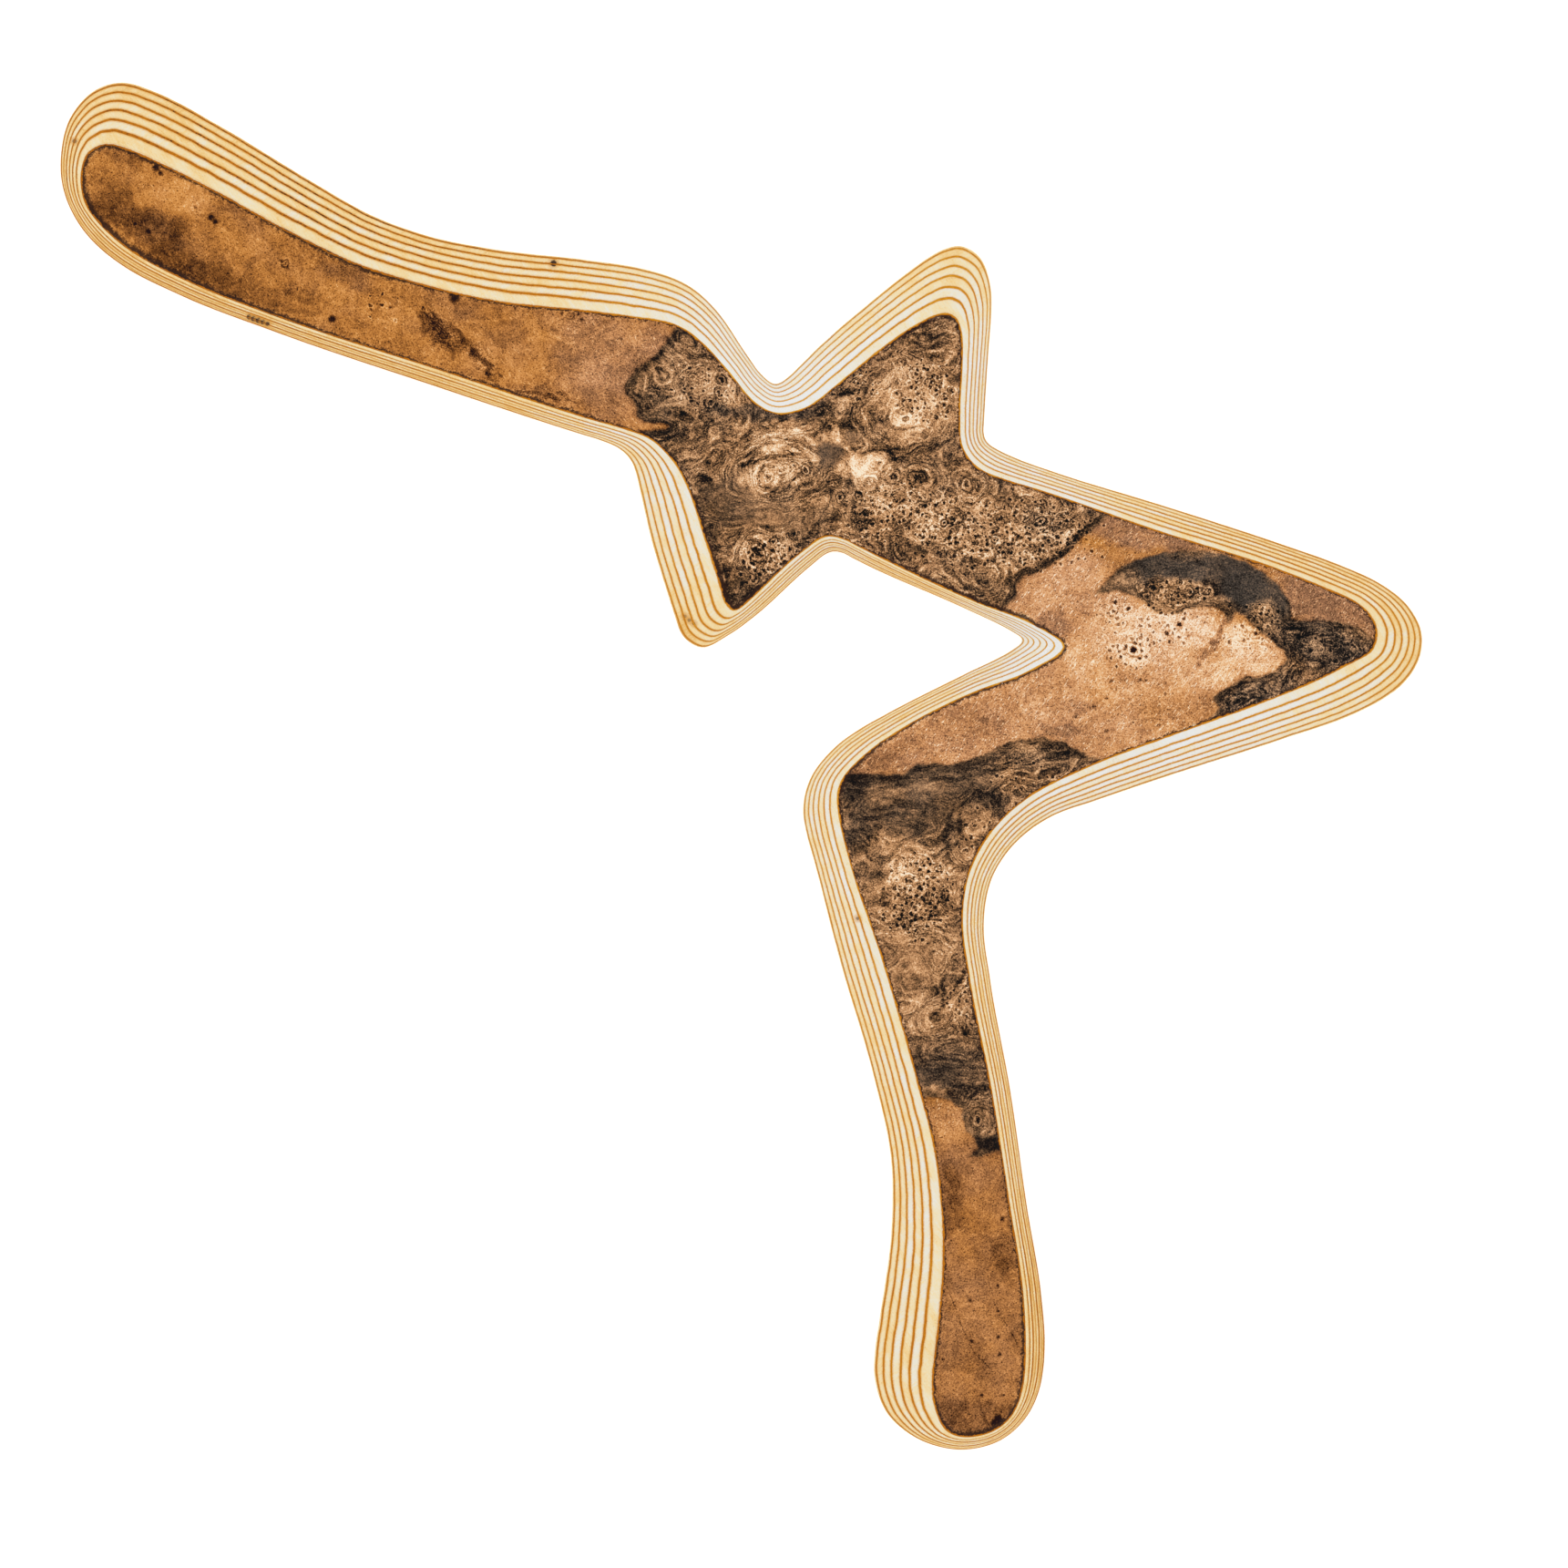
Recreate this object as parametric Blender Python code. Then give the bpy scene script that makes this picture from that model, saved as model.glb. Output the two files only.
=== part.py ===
"""Laminated boomerang: eight birch plies with a burl veneer on the airfoiled face.

The blank is a stack of flat sheets, lying burl side up with its underside on z = 0.
Its rim is cut to one outline and then planed down from the face, so every sheet shows
as a band in the bevel. Each sheet is a loft between the contour lines of that bevel.
"""
import math

import bmesh
import bpy
import numpy as np

MM = 0.001

# Sheets, in millimetres. Ply 1 lies under the burl and ply 8 is the underside.
PLY_COUNT = 8
PITCH = 0.50            # one ply with its glue
PLY_THICK = 0.41
FILM_THICK = 0.07       # phenolic glue film between two sheets
SHEET_GAP = 0.01        # clearance on each side of a glue film
BURL_THICK = 0.60

# Bevel of the upper face: height in millimetres, share of the way from the rim to the
# edge of the burl.
BEVEL = (
    (0.70, 0.000),
    (0.95, 0.035),
    (1.45, 0.155),
    (1.95, 0.290),
    (2.45, 0.440),
    (2.95, 0.600),
    (3.45, 0.770),
    (3.96, 1.000),
)

# Rounding of the lower edge: height, distance the side stands in from the rim.
UNDER_EDGE = (
    (0.00, 0.55),
    (0.12, 0.28),
    (0.41, 0.08),
    (0.70, 0.00),
)

# Planed edge of the burl veneer: height above its glue side, distance in from its rim.
BURL_EDGE = (
    (0.00, 0.00),
    (0.30, 0.55),
    (0.50, 1.15),
    (0.60, 1.90),
)

TURN_PER_STEP = math.radians(11.0)   # turning of the rim that one straight step may take

# Stations round the rim in millimetres, clockwise seen from the burl side: a point on the
# rim (x, y) and the point on the edge of the burl (x, y) at the head of the bevel there.
STATIONS = (
    # end of the long arm
    (-175.4, 155.0, -170.0, 151.0),
    (-173.3, 166.2, -168.7, 156.9),
    (-167.3, 173.6, -166.0, 159.3),
    (-159.9, 176.1, -162.3, 160.0),
    (-150.1, 173.3, -155.5, 157.8),
    # long arm, trailing edge
    (-134.0, 164.7, -140.0, 150.4),
    (-110.0, 150.2, -115.5, 137.1),
    (-95.0, 141.8, -99.5, 129.5),
    (-80.0, 136.4, -83.0, 124.2),
    (-62.0, 132.9, -64.0, 119.8),
    (-40.0, 130.4, -41.0, 117.3),
    (-24.0, 127.8, -26.0, 115.4),
    (-14.0, 124.1, -17.0, 113.6),
    # upper notch
    (-7.0, 118.2, -11.3, 110.0),
    (1.4, 106.2, -3.5, 102.0),
    (5.2, 101.0, 3.6, 93.6),
    (8.6, 98.5, 9.4, 90.8),
    (12.1, 100.2, 16.6, 92.2),
    (18.4, 106.4, 24.0, 97.5),
    # upper horn
    (33.0, 119.2, 36.5, 107.6),
    (45.5, 129.0, 45.3, 113.6),
    (52.0, 133.0, 50.0, 115.9),
    (56.9, 133.9, 52.9, 116.4),
    (61.6, 131.0, 55.3, 115.3),
    (64.4, 123.0, 56.8, 111.5),
    (63.9, 108.0, 57.0, 103.5),
    (62.8, 91.0, 56.4, 90.5),
    # notch between the upper horn and the elbow
    (63.0, 84.2, 57.1, 82.0),
    (66.8, 81.2, 61.2, 76.7),
    (80.0, 76.0, 76.0, 71.3),
    # elbow, outer side
    (110.0, 66.7, 108.0, 60.3),
    (140.0, 56.9, 137.0, 51.1),
    (155.0, 51.5, 150.5, 45.8),
    (164.5, 47.1, 158.3, 42.2),
    (171.4, 41.8, 162.2, 38.6),
    (175.2, 35.2, 163.8, 34.4),
    (175.0, 28.3, 162.4, 29.6),
    (170.4, 20.9, 157.0, 26.4),
    (159.2, 13.9, 148.5, 22.1),
    (140.0, 7.0, 132.9, 15.8),
    (110.0, -2.7, 105.0, 5.7),
    # bay between the elbow and the short arm
    (92.0, -8.8, 88.0, -0.9),
    (79.5, -13.4, 74.5, -7.8),
    (70.5, -20.2, 64.8, -16.6),
    (64.6, -29.3, 58.8, -27.7),
    (62.6, -40.6, 57.1, -39.5),
    (64.3, -55.5, 59.0, -55.0),
    # short arm, leading edge
    (69.3, -83.0, 64.3, -82.0),
    (73.7, -113.5, 69.2, -113.0),
    (77.4, -136.5, 72.7, -136.5),
    (78.3, -149.0, 73.3, -149.0),
    # end of the short arm
    (77.0, -160.5, 72.6, -160.0),
    (73.2, -168.4, 70.0, -167.0),
    (66.5, -174.1, 65.3, -171.2),
    (56.3, -176.3, 58.2, -172.9),
    (45.8, -173.6, 52.8, -171.0),
    (37.6, -166.8, 49.9, -164.8),
    (34.4, -157.2, 49.3, -158.0),
    # short arm, trailing edge
    (35.6, -143.5, 50.8, -144.5),
    (38.8, -119.5, 52.1, -120.5),
    (38.6, -100.5, 50.1, -100.5),
    (34.2, -80.0, 45.2, -80.5),
    (25.4, -49.8, 36.6, -50.5),
    (18.8, -24.3, 28.0, -24.5),
    (16.0, -11.5, 25.0, -11.0),
    # hook, up to its inner corner
    (18.0, -3.0, 25.5, -4.7),
    (25.0, 5.5, 30.3, 1.4),
    (37.0, 13.1, 40.0, 8.7),
    (58.0, 23.8, 60.5, 19.2),
    (69.0, 29.3, 74.8, 24.7),
    (72.4, 32.4, 83.1, 30.6),
    (69.5, 34.8, 77.0, 35.4),
    # back along the inner side to the lower horn
    (58.0, 40.4, 61.0, 41.9),
    (32.0, 51.9, 34.5, 54.3),
    (23.6, 55.2, 23.0, 59.1),
    (17.0, 50.7, 16.0, 55.3),
    (2.5, 37.7, 3.0, 43.3),
    (-3.8, 33.3, -0.2, 40.6),
    (-9.8, 30.5, -2.2, 40.2),
    (-14.6, 33.0, -4.0, 42.0),
    (-17.4, 39.7, -5.6, 47.0),
    (-22.6, 56.5, -9.3, 58.6),
    (-26.1, 71.3, -13.9, 72.2),
    # notch between the lower horn and the long arm
    (-28.1, 78.2, -17.8, 78.9),
    (-32.0, 82.1, -23.5, 84.2),
    (-42.0, 85.7, -37.0, 88.7),
    # long arm, leading edge
    (-80.0, 98.2, -78.0, 102.0),
    (-120.0, 111.8, -118.0, 115.1),
    (-145.0, 121.5, -142.0, 124.5),
    (-160.0, 129.3, -155.5, 131.5),
    (-168.9, 137.2, -163.0, 137.3),
    (-174.0, 146.3, -168.6, 144.2),
)

PHENOLIC = (0.13, 0.055, 0.02)
BURL = (0.33, 0.15, 0.065)
BIRCH = (0.80, 0.66, 0.45)
BIRCH_PALE = (0.84, 0.75, 0.60)


def span_slopes(points, chords, k):
    """Tangents at both ends of span k of the closed centripetal Catmull-Rom curve."""
    count = len(points)
    before = points[k - 1]
    start = points[k]
    end = points[(k + 1) % count]
    after = points[(k + 2) % count]
    c0 = chords[k - 1]
    c1 = chords[k]
    c2 = chords[(k + 1) % count]
    m0 = end - start + c1 * ((start - before) / c0 - (end - before) / (c0 + c1))
    m1 = end - start + c1 * ((after - end) / c2 - (after - start) / (c1 + c2))
    return m0, m1


def turning(m0, m1):
    """Largest angle between the two tangents, on the rim and on the edge of the burl."""
    angles = []
    for pair in (slice(0, 2), slice(2, 4)):
        a = m0[pair] / np.linalg.norm(m0[pair])
        b = m1[pair] / np.linalg.norm(m1[pair])
        angles.append(math.acos(float(np.clip(a @ b, -1.0, 1.0))))
    return max(angles)


def rim_rows():
    """Rim and burl edge sampled together as rows of x, y, x, y, centred on the origin."""
    points = np.array(STATIONS)
    count = len(points)
    chords = np.linalg.norm(np.roll(points, -1, axis=0) - points, axis=1) ** 0.5
    rows = []
    for k in range(count):
        start = points[k]
        end = points[(k + 1) % count]
        m0, m1 = span_slopes(points, chords, k)
        steps = 1 + int(turning(m0, m1) / TURN_PER_STEP)
        for step in range(steps):
            u = step / steps
            cubic = 2 * (start - end) + m0 + m1
            square = -3 * (start - end) - 2 * m0 - m1
            rows.append(((cubic * u + square) * u + m0) * u + start)
    rows = np.array(rows)
    low = rows[:, :2].min(axis=0)
    high = rows[:, :2].max(axis=0)
    return rows - np.tile((low + high) / 2, 2)


def contour(rows, height):
    """Contour line of the bevelled blank at this height, as an array of x, y."""
    rim = rows[:, :2]
    across = rows[:, 2:] - rim
    share = np.interp(height, *zip(*BEVEL))
    inset = np.interp(height, *zip(*UNDER_EDGE))
    inward = across / np.linalg.norm(across, axis=1)[:, None]
    return rim + across * share + inward * inset


def stepped_in(outline, distance):
    """The closed outline moved inwards by this distance; it runs clockwise."""
    run = np.roll(outline, -1, axis=0) - np.roll(outline, 1, axis=0)
    run = run / np.linalg.norm(run, axis=1)[:, None]
    inward = np.stack((run[:, 1], -run[:, 0]), axis=1)
    return outline + inward * distance


def sheet_material(name, colour, roughness):
    material = bpy.data.materials.new(name)
    material.use_nodes = True
    shader = material.node_tree.nodes["Principled BSDF"]
    shader.inputs["Base Color"].default_value = (*colour, 1.0)
    shader.inputs["Roughness"].default_value = roughness
    material.diffuse_color = (*colour, 1.0)
    return material


def add_sheet(name, levels, material, collection):
    """Solid sheet lofted through its levels (height, outline), lowest first."""
    sheet = bmesh.new()
    rings = []
    for height, outline in levels:
        rings.append([sheet.verts.new((x * MM, y * MM, height * MM)) for x, y in outline])
    for lower, upper in zip(rings, rings[1:]):
        for k in range(len(lower)):
            side = sheet.faces.new((lower[k - 1], upper[k - 1], upper[k], lower[k]))
            side.smooth = True
    for ring in (rings[0], rings[-1]):
        loop = [sheet.edges.get((ring[k - 1], ring[k])) for k in range(len(ring))]
        for edge in loop:
            edge.smooth = False
        bmesh.ops.triangle_fill(sheet, use_beauty=True, edges=loop)
    bmesh.ops.recalc_face_normals(sheet, faces=sheet.faces)
    mesh = bpy.data.meshes.new(name)
    sheet.to_mesh(mesh)
    sheet.free()
    mesh.materials.append(material)
    collection.objects.link(bpy.data.objects.new(name, mesh))


def build():
    for old in list(bpy.data.objects):
        bpy.data.objects.remove(old, do_unlink=True)
    collection = bpy.data.collections.new("boomerang")
    bpy.context.scene.collection.children.link(collection)
    rows = rim_rows()

    for number in range(1, PLY_COUNT + 1):
        base = (PLY_COUNT - number) * PITCH
        top = base + PLY_THICK
        between = [z for z, inset in UNDER_EDGE if base < z < top]
        levels = [(z, contour(rows, z)) for z in (base, *between, top)]
        colour = BIRCH if number % 2 else BIRCH_PALE
        name = f"birch_ply_{number}"
        add_sheet(name, levels, sheet_material(name, colour, 0.45), collection)

    for number in range(PLY_COUNT):
        base = (PLY_COUNT - number) * PITCH - SHEET_GAP - FILM_THICK
        levels = [(z, contour(rows, z)) for z in (base, base + FILM_THICK)]
        name = f"glue_film_{number}" if number else "burl_glue_film"
        add_sheet(name, levels, sheet_material(name, PHENOLIC, 0.35), collection)

    base = PLY_COUNT * PITCH
    burl_rim = contour(rows, base)
    levels = [(base + rise, stepped_in(burl_rim, inset)) for rise, inset in BURL_EDGE]
    add_sheet("burl_veneer", levels, sheet_material("burl_veneer", BURL, 0.35), collection)


build()
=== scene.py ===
"""Looks of the laminated boomerang: birch plies, phenolic glue lines and a burl face veneer.

Every sheet of the CAD stack is rebuilt finer on its own contour lines. The burl's figure is
worked out at the points of its mesh and stored there, and the material turns it into wood.
"""
import math

import bpy
import numpy as np
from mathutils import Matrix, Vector
from mathutils.geometry import delaunay_2d_cdt
from mathutils.kdtree import KDTree


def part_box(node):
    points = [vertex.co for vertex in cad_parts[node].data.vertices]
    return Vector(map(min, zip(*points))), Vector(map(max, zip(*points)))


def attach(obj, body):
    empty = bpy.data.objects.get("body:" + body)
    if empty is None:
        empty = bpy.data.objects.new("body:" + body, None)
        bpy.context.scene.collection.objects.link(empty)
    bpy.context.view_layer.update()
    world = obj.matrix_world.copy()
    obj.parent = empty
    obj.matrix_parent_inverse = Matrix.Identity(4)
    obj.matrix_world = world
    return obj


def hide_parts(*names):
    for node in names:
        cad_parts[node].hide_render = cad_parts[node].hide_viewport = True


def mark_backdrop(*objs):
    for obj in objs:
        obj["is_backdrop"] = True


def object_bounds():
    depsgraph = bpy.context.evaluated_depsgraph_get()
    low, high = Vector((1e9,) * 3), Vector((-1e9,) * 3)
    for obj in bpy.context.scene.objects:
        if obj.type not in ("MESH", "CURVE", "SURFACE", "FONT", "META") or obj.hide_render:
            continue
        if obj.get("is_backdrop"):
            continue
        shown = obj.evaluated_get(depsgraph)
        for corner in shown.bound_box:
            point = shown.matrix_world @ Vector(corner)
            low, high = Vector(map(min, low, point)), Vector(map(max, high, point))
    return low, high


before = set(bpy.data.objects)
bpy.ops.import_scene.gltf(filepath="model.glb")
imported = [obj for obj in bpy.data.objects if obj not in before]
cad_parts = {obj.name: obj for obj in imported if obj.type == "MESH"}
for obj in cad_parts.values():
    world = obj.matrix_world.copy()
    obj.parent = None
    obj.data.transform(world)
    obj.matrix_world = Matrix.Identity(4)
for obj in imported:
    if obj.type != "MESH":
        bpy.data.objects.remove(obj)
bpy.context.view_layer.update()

MM = 0.001
PLY_COUNT = 8
GLUE_SPACING = 0.5       # height from one glue line to the next, millimetres

# Camera: straight above the boomerang, with the long arm to the upper left.
CAMERA_PLACE = (0.0110, -0.0046, 3.369)
CAMERA_LENS = 300.0
CAMERA_SENSOR = 36.0

# Share of a white diffuser's brightness that the studio light gives on a level surface,
# and the part of it that the lacquer adds on top of any colour.
STUDIO_GAIN = 1.20
LACQUER_VEIL = 0.007
LIGHTS = (               # name, azimuth, elevation, power
    ("key_light", 135, 44, 7.0), ("fill_light", 45, 42, 5.6),
    ("left_light", 225, 42, 5.6), ("back_light", 315, 42, 5.6),
)
LIGHT_SIZE = 1.1
LIGHT_DISTANCE = 1.7
SKY = ((0.0, 1.0), (0.45, 0.98), (0.80, 0.55), (1.0, 0.25))   # height, brightness
FLOOR_GLOW = 0.35        # light that the white table gives of itself
FLOOR_HALF = 4.0
FLOOR_DROP = 0.0002      # gap under the boomerang, metres

RIM_STEP = 0.70          # spacing of points along the rim of a ply, millimetres
BURL_RIM_STEP = 0.34     # the same along the rim of the burl
BURL_GRID = 0.46         # spacing of points on the burl's face
GRID_CLEAR = 0.22        # least distance from these points to the rim
PLY_WANDER = 0.055       # how far a glue line strays from its level, millimetres
WANDER_SIZES = ((3.0, 0.45), (9.0, 0.35), (31.0, 0.20))

BURL_BASE = 4.0
BURL_EDGE = ((0.0, 0.0), (0.55, 0.30), (1.15, 0.50), (1.90, 0.60))   # distance in, rise
BURL_RAGGED = 0.34

# Tone, hue and contrast of the burl where no dab lies.
SAP_BASE = (0.46, 0.0, 0.07)
HEART_BASE = (0.38, 0.1, 0.30)
# How noise roughens a shape: millimetres, size of the noise, seeds for x and y, layers.
HEART_STRAY = (0.9, 4.0, (11, 19), 4)
EYE_STRAY = (0.55, 2.2, (71, 77), 3)
PIN_STRAY = (0.30, 1.1, (81, 83), 2)
STROKE_STRAY = (0.8, 3.0, (111, 113), 3)
PLAIN_BORDER = 0.10      # blackness of the heartwood's border away from the places below
PLAIN_SCORCH = 0.55      # width of the browned rim away from the places below
PLAIN_SHARE = 0.40       # value of a blend far from all its places, and its weight
PLAIN_WEIGHT = 0.02
BURL_CLEARANCE = 0.30    # added to ply 1's distance from the glue under the burl
UNDERSIDE = (0.002, 0.006)   # heights between which the underside turns into the side
EYE_SEED = 41
GRID_SEED = 7

# Colours: position on the scale, then red, green and blue on the screen.
ORANGE_SAP = (
    (0.10, 38, 21, 9), (0.19, 78, 45, 19), (0.28, 112, 68, 32), (0.39, 151, 95, 46),
    (0.50, 194, 126, 60), (0.65, 229, 161, 89), (0.76, 241, 192, 132), (0.90, 251, 229, 190),
)
PINK_SAP = (
    (0.10, 38, 23, 14), (0.20, 73, 47, 30), (0.32, 112, 78, 55), (0.46, 156, 111, 80),
    (0.54, 190, 133, 92), (0.62, 218, 158, 109), (0.71, 233, 182, 136), (0.80, 245, 207, 168),
    (0.92, 252, 235, 212),
)
BROWN_HEART = (
    (0.03, 12, 8, 5), (0.12, 38, 26, 17), (0.20, 64, 47, 33), (0.31, 105, 77, 51),
    (0.41, 145, 104, 70), (0.52, 183, 133, 90), (0.66, 225, 171, 121), (0.80, 245, 205, 162),
    (0.93, 253, 237, 210),
)
CHARCOAL_HEART = (
    (0.03, 12, 9, 7), (0.12, 35, 29, 25), (0.24, 68, 61, 55), (0.35, 104, 87, 73),
    (0.50, 162, 129, 100), (0.70, 224, 182, 142),
)
BIRCH = (
    (0.00, 236, 236, 233), (0.20, 238, 231, 213), (0.38, 243, 225, 182),
    (0.58, 244, 211, 148), (0.80, 229, 180, 102), (1.00, 200, 142, 66),
)
GLUE = (
    (0.00, 226, 168, 62), (0.28, 212, 142, 28), (0.55, 200, 122, 14), (0.80, 180, 104, 8),
    (0.94, 134, 76, 8), (1.00, 72, 43, 10),
)
# Tone across an eye (0 to 3 radii) and across a pit, with 0.5 for no change.
EYE_TONES = (
    (0.00, 0.04), (0.13, 0.10), (0.18, 0.44), (0.23, 0.60), (0.28, 0.52),
    (0.34, 0.27), (0.41, 0.38), (0.52, 0.60), (0.70, 0.54), (1.00, 0.50),
)
PIT_TONES = ((0.00, 0.00), (0.24, 0.04), (0.36, 0.44), (0.46, 0.76), (0.64, 0.62), (0.92, 0.50))

# Outlines of the dark heartwood, in millimetres on the burl's face. Points outside the
# veneer only close an outline.
HEART_STAR = (
    (-16.5, 113.3), (-19, 109.5), (-22, 106), (-27.3, 101.5), (-30, 98.2), (-29.6, 95.5), (-26.9, 92.8),
    (-26.5, 90), (-25, 88.6), (-21, 88.7), (-18.4, 87.5), (-19.8, 86.3), (-22, 86.5), (-26, 85.9),
    (-26, 84), (-20, 70), (-12, 35), (0, 36), (22, 54), (60, 38), (66.6, 40), (68.7, 41.5), (70.9, 44.1),
    (71.4, 47.2), (72.7, 49.4), (75.7, 49.8), (78.4, 51.1), (83.2, 53.8), (86.2, 56.8), (88.9, 59.9),
    (94.6, 64.5), (90, 75), (60, 90), (60, 120), (45, 120), (10, 100), (0, 108),
)
HEART_ELBOW = (
    (91.5, 44.5), (94.1, 48.1), (97.6, 51.1), (103.7, 53.8), (109, 54.8), (116, 55.7), (123, 54.8),
    (130, 52.3), (135.2, 49.5), (138.7, 46), (141.4, 41.5), (141.8, 38), (144, 37.2), (148.4, 37.7),
    (154.5, 37.1), (159.7, 35.4), (163, 32.5), (165, 28), (158, 24), (148, 20), (138, 15), (119.5, 10),
    (120.4, 12.6), (123, 15.3), (121.2, 17.4), (123, 18.8), (125.6, 20.5), (130, 22.7), (135.2, 23.6),
    (138.7, 25.3), (140.5, 27.5), (139.6, 30.1), (136.1, 32.8), (132.6, 35.4), (129.5, 38.5),
    (127.2, 39.8), (125.2, 37), (124.3, 39.6), (121.2, 41.1), (116, 40.6), (110.7, 38.9), (106.4, 39.8),
    (103.7, 42.4), (101.1, 44.1), (96.7, 45),
)
HEART_ARM = (
    (20, -2), (27.9, -1.7), (32.6, -2.2), (38.1, -2.6), (42, -2.1), (45.1, 0.3), (48.3, 0.5), (53, 0.4),
    (59.3, 1.5), (64, 3.6), (67.9, 5.5), (72, 7.2), (77, 7.2), (82, 6.5), (86, 4.6), (90, 2.6),
    (94, 1.2), (92, -6), (76, -20), (70, -40), (72, -70), (80, -99), (66.5, -99), (63, -100),
    (59, -100.5), (60, -99.5), (61, -98), (60, -96), (58, -94), (57, -91), (57, -88), (55, -87.5),
    (52.5, -86), (50, -85.3), (46.5, -85.3), (36, -84), (24, -50), (12, -20),
)
# Stretches of the heartwood's border that are drawn in black: x, y, reach, strength.
BLACK_BORDERS = (
    (-27, 97, 11, 0.62), (-18, 110, 9, 0.55), (-24, 86, 8, 0.55), (88, 58, 12, 0.5), (72, 46, 10, 0.55),
    (32, -2, 9, 0.5), (46, 0, 9, 0.35), (100, 50, 10, 0.35), (133, 18, 13, 0.4), (136, 46, 10, 0.3),
    (66, -97, 7, 0.5), (50, -86, 8, 0.2),
)

# Dabs of tone: centre x, y, half sizes, turn in degrees, then the tone (0 black, 1 white),
# hue (0 orange or brown, 1 pink or charcoal), contrast of the figure, and strength.
SAP_DABS = (
    # long arm
    (-52, 108, 30, 16, -15, 0.5, 0.15, 0.07, 0.8), (-30, 102, 17, 14, 0, 0.51, 0.85, 0.08, 0.9),
    (-152, 150, 10, 5, -20, 0.52, 0, 0.07, 0.9), (-142, 146, 7, 5, -25, 0.56, 0, 0.07, 0.9),
    (-159, 146, 5, 4, 0, 0.5, 0, 0.07, 0.7), (-151, 138, 10, 4, -28, 0.28, 0.2, 0.09, 0.95),
    (-164, 143, 4, 8, -35, 0.26, 0, 0.06, 0.8), (-142, 128, 13, 4, -22, 0.235, 0, 0.1, 0.9),
    (-128, 122, 11, 4, -20, 0.31, 0, 0.07, 0.8), (-158, 157, 9, 2.5, -10, 0.36, 0, 0.08, 0.8),
    (-131, 140, 9, 4, -30, 0.43, 0.2, 0.08, 0.7), (-126, 134, 8, 4, -20, 0.49, 0, 0.07, 0.6),
    (-124, 127, 5, 3, 0, 0.36, 0.1, 0.08, 0.7), (-118, 124, 6, 4, -15, 0.48, 0, 0.07, 0.7),
    (-104, 119, 9, 6, 0, 0.49, 0, 0.08, 0.8), (-120, 130.5, 8, 3.5, -20, 0.5, 0.1, 0.08, 0.8),
    (-102, 127, 8, 3, -20, 0.33, 0.2, 0.08, 0.85), (-112, 121, 4, 3, -20, 0.36, 0, 0.08, 0.7),
    (-93, 110, 6, 4, -20, 0.42, 0, 0.07, 0.8), (-92, 116, 6, 4, 0, 0.51, 0, 0.09, 0.8),
    (-86, 109, 5, 3, 0, 0.5, 0, 0.07, 0.7), (-76, 120, 10, 3, -15, 0.4, 0.2, 0.08, 0.7),
    (-77, 111.8, 7.5, 2.6, -44, 0.33, 0.2, 0.26, 0.8), (-66.5, 104, 6, 1.8, -46, 0.34, 0.2, 0.26, 0.8),
    (-51, 95.5, 9, 2.2, -10, 0.33, 0.3, 0.24, 0.85), (-57, 108, 9, 6, 0, 0.5, 0.2, 0.06, 0.8),
    (-46, 114, 7, 3, -5, 0.42, 0.4, 0.12, 0.7), (-36, 111, 10, 4, -5, 0.5, 0.7, 0.08, 0.6),
    (-26, 101, 4, 6, 0, 0.45, 0.8, 0.1, 0.7), (-35, 94, 9, 3, -15, 0.44, 0.6, 0.08, 0.7),
    # between the star and the elbow
    (70, 20, 60, 34, 0, 0.6, 0.8, 0.07, 1), (84, 47, 10, 8, 30, 0.61, 1, 0.06, 0.9),
    (103, 60, 18, 4, -15, 0.45, 1, 0.08, 0.95), (150, 42, 15, 7, -20, 0.455, 1, 0.07, 1),
    (161, 36, 6, 4, 0, 0.42, 1, 0.07, 0.9), (104, 32, 13, 8, 0, 0.7, 1, 0.13, 0.95),
    (114, 36, 10, 6, 0, 0.75, 1, 0.14, 0.9), (131, 30, 9, 6, -20, 0.77, 0.8, 0.13, 0.9),
    (120, 24, 11, 5, -15, 0.72, 0.8, 0.1, 0.9), (99, 19, 12, 6, 0, 0.61, 0.6, 0.11, 0.9),
    (112, 12, 9, 5, -15, 0.57, 0.5, 0.1, 0.9), (90, 27, 8, 6, 0, 0.69, 0.7, 0.07, 0.9),
    (122.5, 33, 6.5, 1, 61, 0.4, 0.9, 0.12, 0.75), (119, 27.5, 3, 0.9, 40, 0.46, 0.9, 0.12, 0.7),
    (96, 41, 5, 3, 0, 0.68, 1, 0.2, 0.8), (101, 30, 4, 3.5, 0, 0.78, 0.9, 0.22, 0.8),
    (78, 15, 10, 5, -20, 0.61, 0.8, 0.09, 0.9), (88, 15, 5, 2, -10, 0.46, 0.9, 0.09, 0.7),
    (82, 9.5, 8, 2, 0, 0.44, 0.9, 0.09, 0.8), (52, 8, 20, 5, 22, 0.49, 0.8, 0.07, 0.9),
    (80, 36, 5, 4, 0, 0.45, 1, 0.06, 0.9), (36, 1, 6, 3, 20, 0.46, 0.8, 0.08, 0.8),
    # lower part of the short arm
    (60, -132, 24, 48, 0, 0.445, 0.38, 0.06, 1), (54, -91, 6, 5, 0, 0.55, 0.5, 0.08, 0.9),
    (58, -103, 8, 6, 0, 0.46, 0.55, 0.05, 0.8), (53, -112, 3.5, 9, 0, 0.32, 0.2, 0.1, 0.9),
    (60, -120, 8, 8, 0, 0.43, 0.2, 0.06, 0.8), (69, -124, 4, 7, 0, 0.32, 0.2, 0.12, 0.9),
    (60, -140, 8, 9, 0, 0.49, 0.5, 0.05, 0.8), (60, -155, 8, 8, 0, 0.44, 0.4, 0.06, 0.8),
    (60, -168, 9, 5, 0, 0.33, 0.4, 0.1, 0.9),
)
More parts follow.
